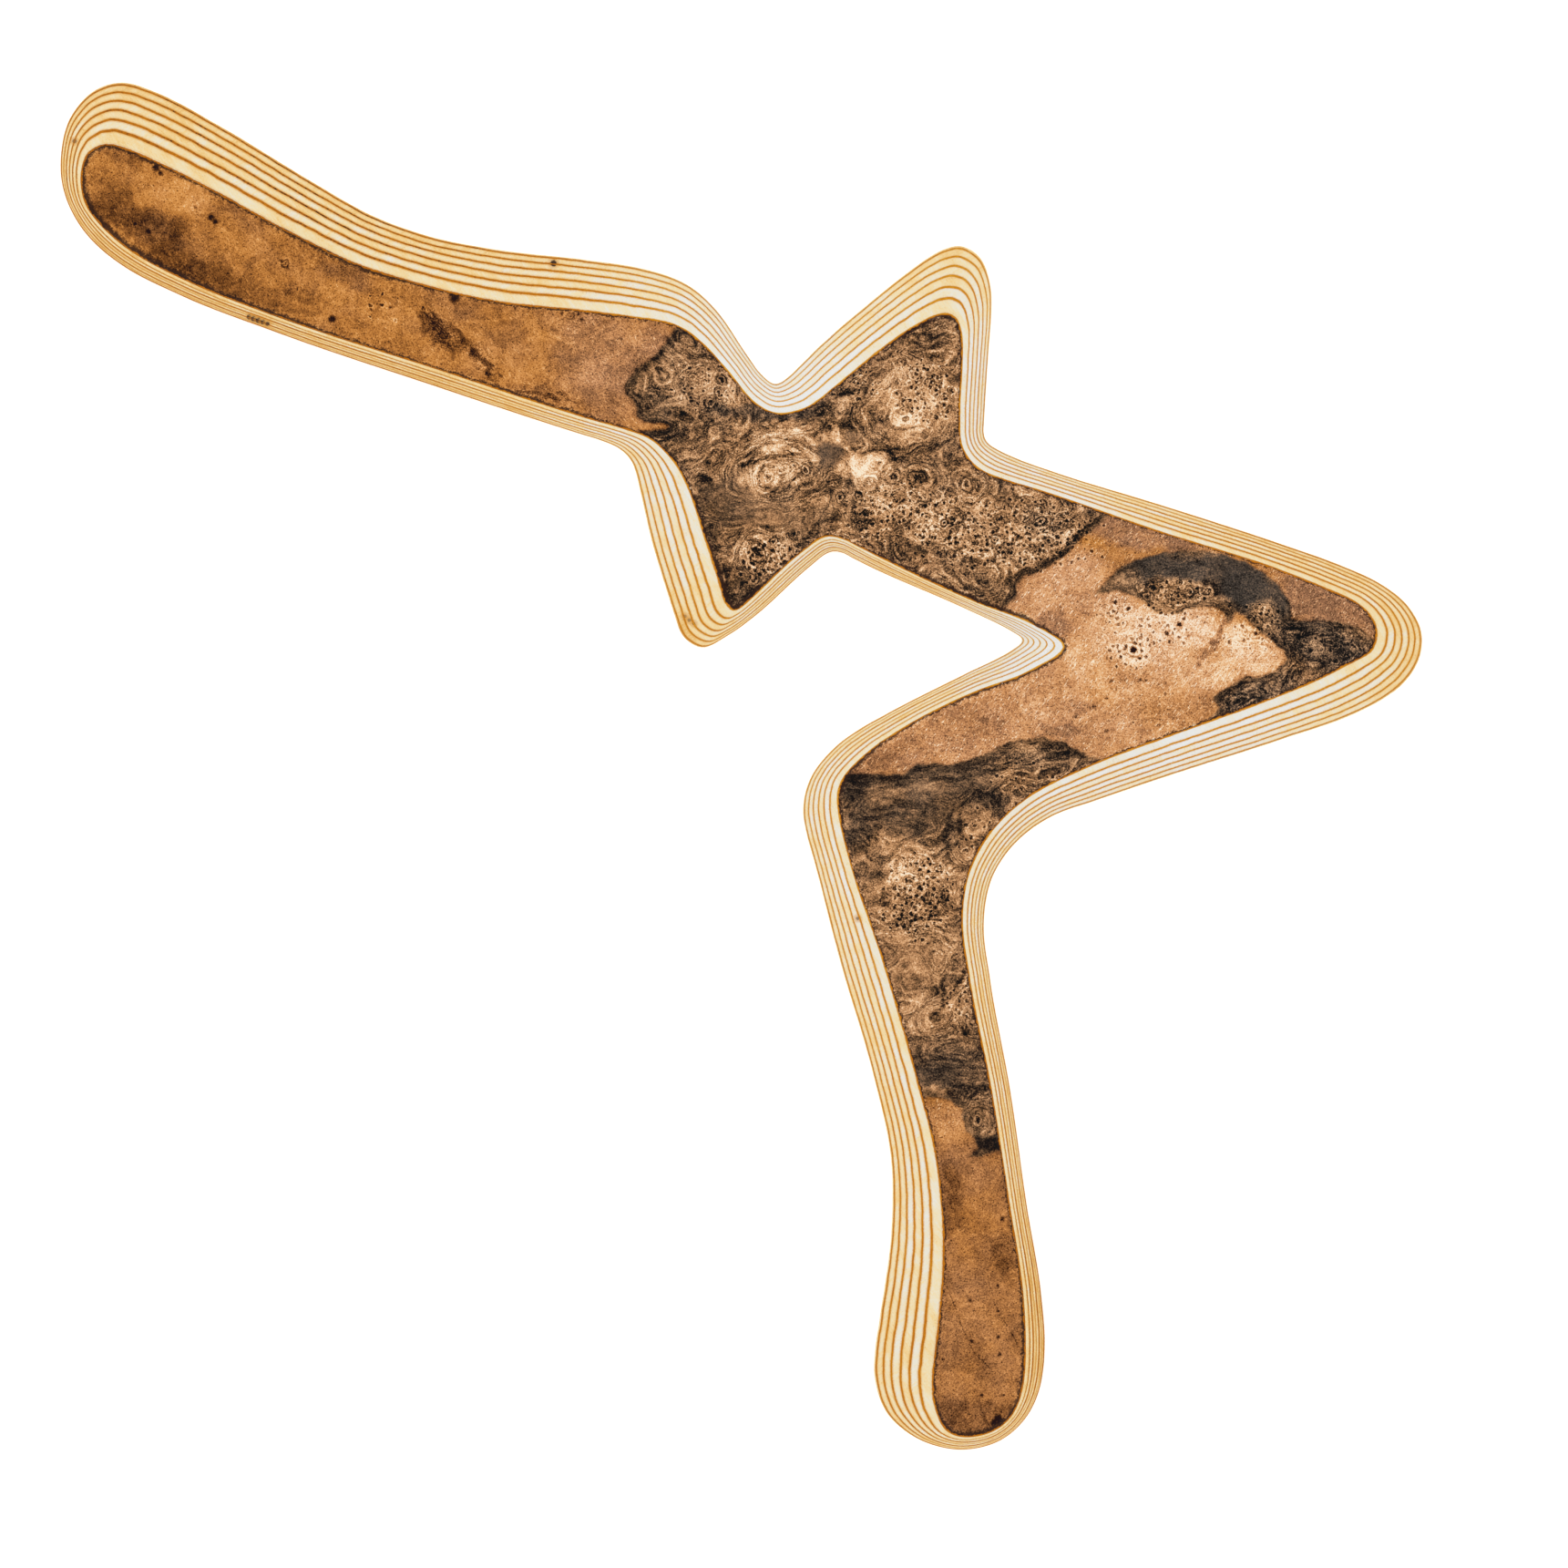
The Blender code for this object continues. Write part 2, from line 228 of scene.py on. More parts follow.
HEART_DABS = (
    # star
    (0, 85, 14, 8, 0, 0.49, 0, 0.3, 0.8), (-22, 92, 5.5, 5, 0, 0.23, 0.3, 0.24, 0.95),
    (-12, 98, 7, 6, 0, 0.45, 0.3, 0.28, 0.8), (-24, 101, 3, 5, -40, 0.42, 0, 0.2, 0.6),
    (-4, 68, 8, 6, 0, 0.335, 0.3, 0.12, 0.9), (10, 64, 11, 3.5, 0, 0.42, 0.1, 0.12, 0.9),
    (9, 82, 11, 5, 0, 0.52, 0, 0.36, 0.7), (10, 75.5, 9, 4, 8, 0.68, 0, 0.34, 0.95),
    (20, 74, 4, 4, 0, 0.36, 0.2, 0.3, 0.8), (30.4, 77.4, 5.6, 3, 15, 0.84, 0, 0.3, 0.95),
    (34.8, 77.6, 3.8, 2.2, -20, 0.82, 0, 0.3, 0.95), (34.2, 74, 2.8, 2, -50, 0.78, 0, 0.32, 0.9),
    (22.6, 81, 3.8, 3.2, 0, 0.315, 0.5, 0.06, 0.95), (25, 85, 5, 2.2, 0, 0.66, 0, 0.25, 0.8),
    (29.1, 84.5, 2.2, 1.5, 0, 0.36, 0.5, 0.1, 0.7), (46, 95, 11, 10, 0, 0.565, 0, 0.28, 0.9),
    (41, 88, 8, 3.6, -10, 0.6, 0, 0.28, 0.8), (46, 110, 8, 5, 0, 0.285, 0.1, 0.3, 0.9),
    (20, 65, 7, 5, 0, 0.35, 0.1, 0.26, 0.8), (45, 66, 14, 8, -20, 0.51, 0, 0.36, 0.85),
    (65, 60, 12, 7, -20, 0.51, 0.1, 0.36, 0.8), (63, 66.5, 4, 3, 0, 0.62, 0, 0.3, 0.8),
    (30, 59, 10, 4, -20, 0.4, 0, 0.34, 0.8), (0, 46, 5, 6, 0, 0.25, 0.1, 0.26, 0.9),
    (6, 55, 7, 5, 0, 0.5, 0, 0.36, 0.9), (-9, 60, 3.5, 9, 10, 0.28, 0.1, 0.2, 0.8),
    (80, 62, 8, 4, -20, 0.44, 0.3, 0.38, 0.9), (62, 46, 8, 4, -20, 0.33, 0.1, 0.3, 0.9),
    (81, 69, 4, 1.6, -20, 0.12, 0.5, 0.1, 0.9), (25, 97, 7, 3, 35, 0.27, 0.2, 0.3, 0.8),
    (29, 92, 6, 5, 0, 0.36, 0.1, 0.3, 0.6), (5, 91.5, 13, 2.4, 0, 0.24, 0.6, 0.2, 0.9),
    (-12, 87, 10, 3, 10, 0.29, 0.2, 0.3, 0.7),
    # elbow
    (104, 50, 8, 2.6, 16, 0.28, 0.8, 0.1, 0.95), (117, 51.2, 13, 3.8, -2, 0.265, 0.9, 0.08, 0.97),
    (130, 46, 8, 5.4, -32, 0.245, 1, 0.05, 1), (137, 42, 4, 5, -30, 0.27, 0.9, 0.1, 0.9),
    (98, 48, 5, 3, 25, 0.46, 0.2, 0.22, 0.9), (112, 44.5, 9, 3.4, -5, 0.4, 0.1, 0.36, 0.95),
    (134, 38, 4, 5, -20, 0.44, 0.1, 0.34, 0.9), (150, 31, 13, 6, -20, 0.19, 0.6, 0.32, 0.98),
    (132, 18, 10, 4, 25, 0.25, 0.6, 0.34, 0.95),
    # short arm, between its bands
    (48, -45, 26, 34, 0, 0.48, 0, 0.26, 1), (45, -28, 9, 6, 0, 0.51, 0, 0.32, 0.9),
    (45, -37, 9, 7, 0, 0.395, 0, 0.34, 0.9), (33, -25, 4, 8, 20, 0.32, 0.1, 0.24, 0.8),
    (36, -35, 3.5, 8, 10, 0.44, 0, 0.24, 0.6), (42, -51, 8, 6, 0, 0.48, 0, 0.17, 0.9),
    (48, -61, 8, 6, 0, 0.54, 0, 0.23, 0.9), (53, -55, 2.5, 8, -22, 0.38, 0.1, 0.24, 0.8),
    (57, -60, 2, 6, -30, 0.4, 0.1, 0.24, 0.7), (58, -65, 5, 4, 0, 0.46, 0, 0.3, 0.8),
    (60, -68, 4, 2, 0, 0.26, 0.1, 0.24, 0.8), (61, -15, 4.5, 4.5, 0, 0.6, 0, 0.24, 0.9),
    (57.5, -22, 3.5, 3.5, 0, 0.5, 0, 0.24, 0.9), (54, -18, 2, 4, -20, 0.26, 0.2, 0.2, 0.8),
    (57, -34, 3, 9, 0, 0.38, 0, 0.26, 0.8),
    # first band
    (52, -4, 24, 5, 8, 0.31, 0.4, 0.13, 0.95), (42, -12, 16, 6, -3, 0.3, 0.3, 0.13, 0.95),
    (38, -8, 8, 3.5, 0, 0.4, 0.2, 0.14, 0.8), (47, -6.4, 5, 2.5, 0, 0.43, 0.5, 0.1, 0.8),
    (74, 1, 13, 4, 10, 0.28, 0.3, 0.26, 0.9), (66, -8, 7, 2.5, 15, 0.26, 0.4, 0.2, 0.8),
    (71, -4, 6, 3, 15, 0.46, 0, 0.3, 0.7), (29, -4, 4, 5, 0, 0.16, 0.4, 0.12, 0.8),
    (30, -15, 4, 6, 0, 0.24, 0.4, 0.16, 0.8),
    # second band
    (55, -78, 16, 7.5, 0, 0.295, 0.3, 0.2, 0.97), (50, -80, 6, 4, 0, 0.27, 0.5, 0.1, 0.9),
    (51, -83.4, 4, 1.4, 0, 0.46, 0, 0.25, 0.8), (60.8, -91.3, 4.5, 4.5, 0, 0.36, 0.1, 0.2, 0.95),
    (65, -97, 5, 2.2, 0, 0.13, 0.3, 0.1, 0.95),
)

# Centres that the figure curls round: x, y, half sizes, turn in degrees, rings, strength.
SWIRLS = (
    (9, 76, 14, 10.5, 8, 12, 1), (-10.5, 98, 7.5, 6.5, 30, 6.5, 0.9), (43, 92, 15, 13, 50, 11, 0.75),
    (4.5, 55.3, 7.5, 6, 20, 6.5, 0.9), (60.5, -15.4, 5.5, 4.5, 40, 4.5, 0.9),
    (57.3, -21.9, 4.5, 4, 0, 4, 0.9), (60.8, -91.3, 5, 4.6, 0, 5, 0.9),
    (106, 45.9, 4.5, 3.6, 10, 4, 0.8), (116, 45, 4.5, 3.4, 0, 4, 0.8), (43.5, -30, 12, 9, -25, 6, 0.7),
    (34, 78, 8, 6, 20, 4, 0.6), (32.1, 65.1, 5, 4.4, 0, 4.5, 0.9), (134.4, 29.7, 4, 3.2, 30, 3.5, 0.7),
    (101.4, 29.9, 5.5, 4.5, 0, 3.5, 0.7), (-117.5, 129.3, 8, 5, 60, 3.5, 0.8),
    (-44, 113.5, 9, 5.5, -5, 4.5, 0.9), (-91, 116.5, 7, 5, 0, 3, 0.6), (44, -56, 10, 9, 30, 6, 0.7),
    (70, 58, 9, 6, -20, 6, 0.6), (148, 31, 10, 6, -15, 6, 0.6),
)

# Stretches where the figure runs straight: x, y, half sizes, turn, lines per mm, strength.
DRIFTS = (
    (50, -2, 26, 6, 8, 1, 0.85), (40, -13, 14, 5, -5, 1, 0.8), (76, 1, 14, 5, 12, 0.9, 0.8),
    (55, -78, 14, 9, -2, 1, 0.9), (54, -57, 4, 12, -25, 0.9, 0.8), (-18, 106, 5, 9, -35, 1, 0.7),
    (14, 89, 12, 3, 12, 0.9, 0.7), (-14, 80, 12, 5, 18, 0.8, 0.7), (35, 102, 14, 4, 42, 0.9, 0.8),
    (52, 110, 8, 4, 10, 0.9, 0.8), (78, 56, 14, 4, -38, 0.9, 0.6), (115, 52, 16, 3, -3, 0.8, 0.8),
    (-78, 115, 10, 4, -42, 0.7, 0.7), (-64, 103, 9, 4, -45, 0.7, 0.7), (-50, 95, 12, 3, -12, 0.8, 0.7),
)
# Eyes of the burl with rings round them: x, y, radius.
EYES = (
    (-12.6, 100.3, 1), (-5.2, 99.5, 1.3), (-6, 96.4, 0.9), (-8, 93.7, 1.4), (10.6, 76.3, 1.5),
    (13.7, 77.5, 0.9), (16.6, 76.3, 1.1), (6.7, 74.4, 1.9), (33, 73.2, 1.1), (32.1, 65.1, 2.3),
    (30.3, 69.6, 0.9), (25.5, 69.4, 1), (39.2, 74.4, 1.7), (45.4, 74.4, 1.9), (58, 72.5, 1.6),
    (61, 72.3, 1), (54, 64, 1.2), (46, 59.5, 1), (50, 97, 1.1), (50.5, 100, 1.2), (53, 91, 0.9),
    (45, 101, 0.9), (41, 104, 0.8), (4, 55.1, 2.2), (13.5, 59.7, 1.1), (77, 63, 1.3), (105.9, 45.9, 1.5),
    (115.3, 45, 1.3), (117.7, 45, 0.9), (119.9, 44.8, 0.8), (132.4, 37.1, 1.3), (129.7, 34.5, 0.8),
    (60.8, -91.3, 1.6), (60.1, -15.4, 1), (57.3, -21.7, 0.8), (71, -6.8, 0.8), (59.7, -64.9, 1.2),
    (-117.5, 129.3, 0.9), (-44, 115.8, 0.9), (101, 30, 1.9), (96.3, 42.2, 1.1), (95.9, 39.8, 1),
    (99.6, 40.5, 1.3), (109.7, 34.2, 1), (110.3, 32.1, 0.9), (112.7, 36.5, 1.1), (129.8, 37.4, 1),
    (132.2, 33.8, 1), (104.2, 43.6, 1.1), (98.4, 36.6, 0.9),
)
# Pins: small dark dots without rings.
PINS = (
    (35.6, 78.1, 0.6), (51, 91, 0.6), (6.7, 61.7, 0.7), (17.6, 60.1, 0.6), (57.7, -68.8, 1),
    (-118.3, 130.2, 0.5), (-116.8, 128.4, 0.6), (-117.9, 128.7, 0.4), (-150.6, 154, 1.1),
    (-149.6, 152.6, 0.7), (-136.5, 141.3, 0.9), (-135.4, 140.2, 0.8), (-152.7, 137.7, 0.7),
    (-156, 139.6, 0.4), (-105.3, 115.1, 1.1), (-73.8, 120.7, 1.7), (-74.6, 121.5, 0.8),
    (-42, 116.5, 0.4), (-41, 115, 0.4), (-46.2, 116.4, 0.4), (96.3, 42.2, 0.7), (95.9, 39.8, 0.6),
    (99.6, 40.5, 0.8), (109.7, 34.2, 0.8), (110.3, 32.1, 0.6), (112.7, 36.5, 0.9), (115.3, 33.6, 0.6),
    (101, 30, 0.9), (98.7, 30.2, 0.5), (102.3, 27.7, 0.5), (97.8, 28.1, 0.4), (129.3, 32.4, 0.6),
    (132.5, 34, 0.5), (95.3, 22, 0.55), (102.6, 22.1, 0.55), (104.2, 22.1, 0.45), (94.1, 17.4, 0.5),
    (90.7, 15.2, 0.6), (86.2, 12.6, 0.6), (94, 9, 0.5), (67.2, -116.5, 0.8), (66, -133.8, 0.5),
    (59, -137.6, 0.5), (66, -140.3, 0.4), (66.2, -147, 0.5), (59.4, -148, 0.5), (66.7, -151.5, 0.5),
    (52, -152.8, 0.4), (61.8, -162, 0.5), (67.5, -162, 0.4), (66.2, -168.3, 1.4), (64.9, -169, 0.9),
    (-82, 118, 0.4), (-95.4, 117.6, 0.4), (-90.3, 118.3, 0.4), (-140.6, 144, 0.4),
)
# Fields of seeded eyes: centre x, y, half sizes, count, smallest and largest radius.
EYE_FIELDS = (
    (66, 60, 25, 8, 46, 0.55, 1.3), (42, 66, 16, 9, 34, 0.5, 1.2), (47, 96, 8, 9, 18, 0.5, 0.9),
    (7, 53, 8, 6, 16, 0.5, 0.9), (45, -33, 8, 11, 22, 0.5, 0.9), (111, 45, 10, 3, 12, 0.5, 1),
    (134, 38, 3, 5, 8, 0.5, 1), (-10, 97, 8, 6, 8, 0.5, 0.9), (56, -62, 5, 8, 8, 0.4, 0.8),
    (148, 30, 12, 5, 8, 0.5, 0.9),
)
# Fields of tiny pits: centre x, y, half sizes, density.
PIT_FIELDS = (
    (68, 59, 27, 10, 0.85), (42, 65, 17, 9, 0.75), (48, 96, 9, 10, 0.7), (7, 52, 9, 7, 0.9),
    (45, -34, 10, 12, 1), (112, 45, 11, 4, 0.6), (134, 37, 5, 6, 0.7), (105, 37, 14, 7, 0.5),
    (100, 30, 8, 6, 0.75), (130, 33, 8, 5, 0.55), (100, 16, 16, 8, 0.1), (-92, 117, 7, 5, 0.3),
    (57, -62, 5, 8, 0.6), (60, -18, 6, 7, 0.4), (-10, 97, 9, 7, 0.5), (150, 30, 12, 5, 0.4),
    (72, -2, 12, 5, 0.35), (60, -145, 9, 28, 0.05), (-120, 133, 40, 12, 0.06), (30, 98, 8, 6, 0.4),
)
# Lines of the figure that stand out: half width, change of tone, points.
STROKES = (
    (0.6, -0.2, (60, -48.5), (58.6, -51.5), (55.8, -56), (53.6, -59.6), (49.5, -64.5)),
    (0.5, -0.18, (52.5, -53.5), (51.6, -56), (52.6, -58.6), (51.4, -61)),
    (0.7, 0.12, (61, -51), (58, -55.6), (56, -59.4), (52.5, -63.6)),
    (1.3, -0.15, (-82, 116), (-79, 114), (-77.2, 110.8), (-75.6, 108.8)),
    (0.9, -0.16, (-74.5, 113.2), (-72.6, 111.6), (-71, 109.2)),
    (0.8, -0.22, (-69.4, 107.4), (-68, 105.6), (-66.2, 104.2), (-64.6, 102.8), (-65.2, 101.4)),
    (0.7, -0.14, (-74.8, 107), (-74, 105.2)), (0.6, -0.2, (-62.8, 101), (-61.8, 100.4)),
    (0.7, -0.18, (-26.5, 86.4), (-22, 83), (-17, 79)),
    (0.5, 0.26, (51.7, 100), (52.4, 98.6), (53.9, 97.8), (56.7, 96.1)),
    (0.9, 0.14, (40.8, -26.4), (43.6, -28.6), (46.7, -29.6)),
    (0.6, 0.18, (40, 87.5), (39.6, 90.3), (41.5, 91.6), (43.4, 90.6), (43.2, 88.6)),
    (0.6, -0.2, (0.5, 77.5), (5, 78.7), (10, 80), (15, 80.3), (17.7, 78.7), (18.3, 77)),
    (0.8, -0.22, (5.2, 77.2), (4.8, 74.5), (5.4, 72.2), (7.7, 71.3), (9.7, 72.7), (10.8, 74.2)),
    (0.7, -0.2, (11.7, 70.7), (14, 74), (16.3, 76)),
    (0.6, 0.14, (1, 81), (4, 83.8), (8.3, 85.7), (13.3, 86.7), (16.7, 85.3), (18.7, 82.7), (19.4, 79)),
    (0.5, 0.12, (8, 81.5), (11, 83.3), (15, 83.2), (17.4, 81)),
    (0.8, -0.2, (56.2, -13), (56, -16.5), (57.6, -19.2), (60.8, -20), (63.5, -18.4)),
    (0.8, -0.2, (53.8, -20), (53.4, -23), (55.2, -25.8), (58.5, -26.6)),
    (0.9, -0.14, (40, 113), (45, 111.5), (50, 110.5), (56, 109.5)),
    (0.6, 0.1, (38, 108), (44, 107.6), (50, 106.5), (56, 107)),
    (0.5, -0.24, (28.6, 81.4), (31, 80.6), (34.4, 81.6), (38.2, 81.2), (39.4, 79.2)),
    (0.5, -0.22, (39.4, 79.2), (37, 77.4), (35.6, 74.4), (34.8, 71.4), (32.6, 70.2)),
    (0.5, -0.18, (27.2, 78.6), (28, 75), (29.4, 71.2), (31, 69.6)),
    (2.2, -0.05, (29, -3.2), (35, -3.8), (44.3, -3), (50.6, -0.6), (58, -0.4), (65.7, 1.6), (72, 5),
     (79, 5.8), (86, 3)),
    (2, -0.06, (34, -12.6), (40, -11), (50.6, -9.9), (56.8, -8.1), (64.8, -7), (71.9, -3.7),
     (77.2, -1.9)),
    (1.3, 0.09, (38, -6.6), (44, -5.6), (49, -5.2)),
    (1.2, 0.09, (62, -3.4), (67, -2.4), (72, 1.2), (78, 2.8)),
    (0.7, -0.12, (78, 52.4), (83, 55.4), (87, 59.6), (91, 64)),
    (0.6, 0.12, (74, 52.6), (80, 56), (85, 60.6), (88, 64)),
)
# Fine cracks in the veneer, as lines through these points.
CRACKS = (
    ((63.5, -131.5), (64, -134.2), (65, -136.5)),
    ((65, -138), (66.8, -141.8), (68.9, -144.6), (71, -148.6)),
    ((53, -134), (55, -139), (57.2, -145.4), (60, -151), (65, -156)),
)

# Where tool heat browned the rim of the burl more widely: x, y, reach, width.
SCORCHED = (
    (-166, 144, 16, 2.2), (-150, 128, 18, 1.9), (-128, 119, 16, 1.6), (-165, 156, 10, 1.4),
    (-100, 129, 22, 1.5), (-55, 96, 26, 1.2), (-5, 46, 14, 2), (50, 112, 12, 1.4), (60, 44, 26, 1.8),
    (28, 0, 14, 1.6), (50, -115, 16, 0.7), (56, -160, 14, 1), (72, -150, 22, 1.2), (60, -172, 9, 1.8),
    (62, -60, 30, 1), (160, 32, 12, 1), (120, 12, 20, 0.9), (-12, 62, 12, 1.3),
)

# How dark the glue lines are burnt: x, y, reach, share.
BROWN_PLACES = (
    (-150, 165, 30, 0.85), (-105, 148, 30, 1), (-60, 130, 26, 0.8), (-160, 130, 24, 0.8),
    (-110, 110, 30, 0.8), (-50, 92, 24, 0.55), (-20, 122, 18, 0.4), (5, 102, 20, 0.12),
    (35, 116, 16, 0.35), (56, 130, 14, 0.45), (62, 92, 18, 0.3), (90, 74, 24, 0.4), (140, 56, 26, 0.62),
    (172, 34, 18, 0.5), (140, 8, 22, 0.42), (90, -8, 22, 0.4), (64, -35, 22, 0.45), (70, -90, 30, 0.65),
    (77, -140, 26, 0.95), (58, -174, 18, 0.65), (36, -150, 26, 0.62), (38, -110, 24, 0.5),
    (28, -60, 28, 0.42), (18, -15, 20, 0.35), (45, 17, 22, 0.35), (72, 32, 14, 0.12), (40, 48, 18, 0.5),
    (0, 38, 16, 0.45), (-16, 36, 14, 0.6), (-24, 65, 18, 0.35),
)
# Colour of the birch: x, y, reach, warmth from 0, near white, to 1, golden.
WARM_PLACES = (
    (8, 100, 20, 0.06), (30, 112, 16, 0.3), (50, 130, 16, 0.45), (62, 95, 18, 0.18), (75, 76, 18, 0.22),
    (110, 64, 24, 0.42), (150, 50, 20, 0.5), (172, 34, 16, 0.5), (150, 14, 18, 0.3), (125, 6, 20, 0.12),
    (85, -8, 18, 0.2), (64, -32, 20, 0.32), (70, -85, 34, 0.52), (77, -140, 24, 0.66),
    (60, -174, 20, 0.52), (36, -155, 22, 0.36), (40, -112, 26, 0.3), (32, -70, 26, 0.34),
    (22, -35, 22, 0.32), (18, -8, 16, 0.3), (40, 14, 22, 0.42), (72, 31, 16, 0.08), (45, 46, 18, 0.58),
    (22, 55, 12, 0.34), (0, 37, 12, 0.42), (-14, 34, 12, 0.62), (-20, 55, 16, 0.3), (-26, 74, 12, 0.22),
    (-35, 84, 14, 0.36), (-80, 100, 28, 0.62), (-130, 116, 24, 0.66), (-165, 135, 18, 0.66),
    (-173, 158, 16, 0.5), (-150, 168, 18, 0.52), (-118, 148, 24, 0.46), (-85, 133, 22, 0.42),
    (-50, 125, 22, 0.4), (-20, 120, 16, 0.3), (-5, 112, 10, 0.18),
)
# Small knots and burns in the birch: x, y, radius, darkness.
BIRCH_MARKS = (
    (-48.4, 129.6, 1, 0.95), (-126.8, 115.7, 0.8, 0.95), (-125.6, 115.2, 0.9, 0.97),
    (-124.4, 114.8, 0.9, 0.97), (-123.2, 114.4, 0.8, 0.97), (-122.1, 114, 0.7, 0.95),
    (-171.8, 161, 0.7, 0.6), (30, -39.2, 0.6, 0.6), (-14.6, 38.6, 0.6, 0.45), (-13.4, 37.6, 0.6, 0.5),
    (-12.2, 36.7, 0.5, 0.5), (-98, 147.6, 0.6, 0.5),
)
PLY_WARMTH = (-0.02, -0.10, 0.06, -0.06, 0.06, 0.10, 0.20, 0.30)   # ply 1 to ply 8


# Noise and fields on points


def corner_slope(ix, iy, seed):
    """Direction of the noise's slope at each lattice corner, as cosine and sine."""
    mixed = ((ix * 73856093) ^ (iy * 19349663) ^ (seed * 83492791)) & 0x7FFFFFFF
    mixed = ((mixed ^ (mixed >> 13)) * 1274126177) & 0x7FFFFFFF
    mixed = ((mixed ^ (mixed >> 15)) * 1103515245) & 0x7FFFFFFF
    angle = (mixed ^ (mixed >> 16)) * (2 * math.pi / 0x7FFFFFFF)
    return np.cos(angle), np.sin(angle)


def slope_noise(x, y, seed):
    """Smooth noise between about -1 and 1 on a lattice of unit cells."""
    ix = np.floor(x).astype(np.int64)
    iy = np.floor(y).astype(np.int64)
    fx = x - ix
    fy = y - iy
    corners = []
    for dy in (0, 1):
        for dx in (0, 1):
            gx, gy = corner_slope(ix + dx, iy + dy, seed)
            corners.append(gx * (fx - dx) + gy * (fy - dy))
    sx = fx * fx * fx * (fx * (fx * 6 - 15) + 10)
    sy = fy * fy * fy * (fy * (fy * 6 - 15) + 10)
    low = corners[0] + sx * (corners[1] - corners[0])
    high = corners[2] + sx * (corners[3] - corners[2])
    return 1.5 * (low + sy * (high - low))


def layered(x, y, size, seed, layers=4):
    """Layered noise whose largest features are this many millimetres across."""
    total = 0.0
    weight = 1.0
    weights = 0.0
    for layer in range(layers):
        total = total + weight * slope_noise(x / size + 17.3 * layer, y / size, seed + layer)
        weights += weight
        weight *= 0.5
        size /= 2.03
    return total / weights


def strayed(x, y, amount, size, seeds, layers):
    """The points moved about by noise, with one seed for each direction."""
    return [part + amount * layered(x, y, size, seed, layers) for part, seed in zip((x, y), seeds)]


def smooth_step(low, high, value):
    share = np.clip((value - low) / (high - low), 0.0, 1.0)
    return share * share * (3 - 2 * share)


def nearness(x, y, place_x, place_y, reach):
    return np.exp(-((x - place_x) ** 2 + (y - place_y) ** 2) / reach ** 2)


def blended(places, x, y):
    """Value at each point, blended from the places of a table."""
    total = np.full(x.shape, PLAIN_WEIGHT * PLAIN_SHARE)
    weights = np.full(x.shape, PLAIN_WEIGHT)
    for *place, value in places:
        weight = nearness(x, y, *place)
        total += weight * value
        weights += weight
    return total / weights


def pulled(places, x, y, base):
    """The base value, pulled towards the values of the places in turn."""
    field = np.full(x.shape, base)
    for *place, value in places:
        field = field + nearness(x, y, *place) * (value - field)
    return field


# Contour lines of the CAD sheets


def node_mesh(name):
    """Points in millimetres and triangles of a CAD node, with split points joined."""
    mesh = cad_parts[name].data
    place = np.empty(len(mesh.vertices) * 3, dtype=np.float32)
    mesh.vertices.foreach_get("co", place)
    place = np.round(place.reshape(-1, 3).astype(float) / MM, 3)
    points, joined = np.unique(place, axis=0, return_inverse=True)
    mesh.calc_loop_triangles()
    corners = np.empty(len(mesh.loop_triangles) * 3, dtype=np.int32)
    mesh.loop_triangles.foreach_get("vertices", corners)
    return points, joined.reshape(-1)[corners].reshape(-1, 3)


def ring_edges(triangles, level_of, level):
    """Edges of the outline at one level: the cap's outer edges, or the loft's own ring."""
    cap = triangles[(level_of[triangles] == level).all(axis=1)]
    uses = {}
    for a, b, c in (cap if len(cap) else triangles).tolist():
        for edge in ((a, b), (b, c), (c, a)):
            key = (min(edge), max(edge))
            uses[key] = uses.get(key, 0) + 1
    if len(cap):
        return [edge for edge, used in uses.items() if used == 1]
    return [edge for edge in uses if level_of[edge[0]] == level and level_of[edge[1]] == level]


def chained(edges):
    """Point numbers of a closed outline in order."""
    near = {}
    for a, b in edges:
        near.setdefault(a, []).append(b)
        near.setdefault(b, []).append(a)
    start = min(near)
    order = [start]
    last = start
    here = near[start][0]
    while here != start:
        order.append(here)
        onward = [other for other in near[here] if other != last]
        last = here
        here = onward[0]
    return order


def clockwise(outline):
    ahead = np.roll(outline, -1, axis=0)
    area = (outline[:, 0] * ahead[:, 1] - ahead[:, 0] * outline[:, 1]).sum()
    return outline if area < 0 else outline[::-1]


def node_rings(name):
    """Outline of a sheet at each of its levels, as a dict from height to an array of x, y."""
    points, triangles = node_mesh(name)
    levels, level_of = np.unique(points[:, 2], return_inverse=True)
    level_of = level_of.reshape(-1)
    rings = {}
    for number, height in enumerate(levels):
        order = chained(ring_edges(triangles, level_of, number))
        rings[float(height)] = clockwise(points[order, :2])
    return rings


def aligned(ring, model):
    """The ring started at the point that matches the start of the model ring."""
    turned = [np.roll(ring, -shift, axis=0) for shift in range(len(ring))]
    return min(turned, key=lambda other: float(((other - model) ** 2).sum()))


def stack_surface():
    """Heights and matching outlines of the whole bevel, from the underside to the burl."""
    found = {}
    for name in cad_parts:
        if name.startswith("birch_ply"):
            found.update(node_rings(name))
    found[BURL_BASE] = node_rings("burl_veneer")[BURL_BASE]
    heights = sorted(found)
    rings = []
    for height in heights:
        ring = found[height]
        rings.append(aligned(ring, rings[-1]) if rings else ring)
    return np.array(heights), np.array(rings)


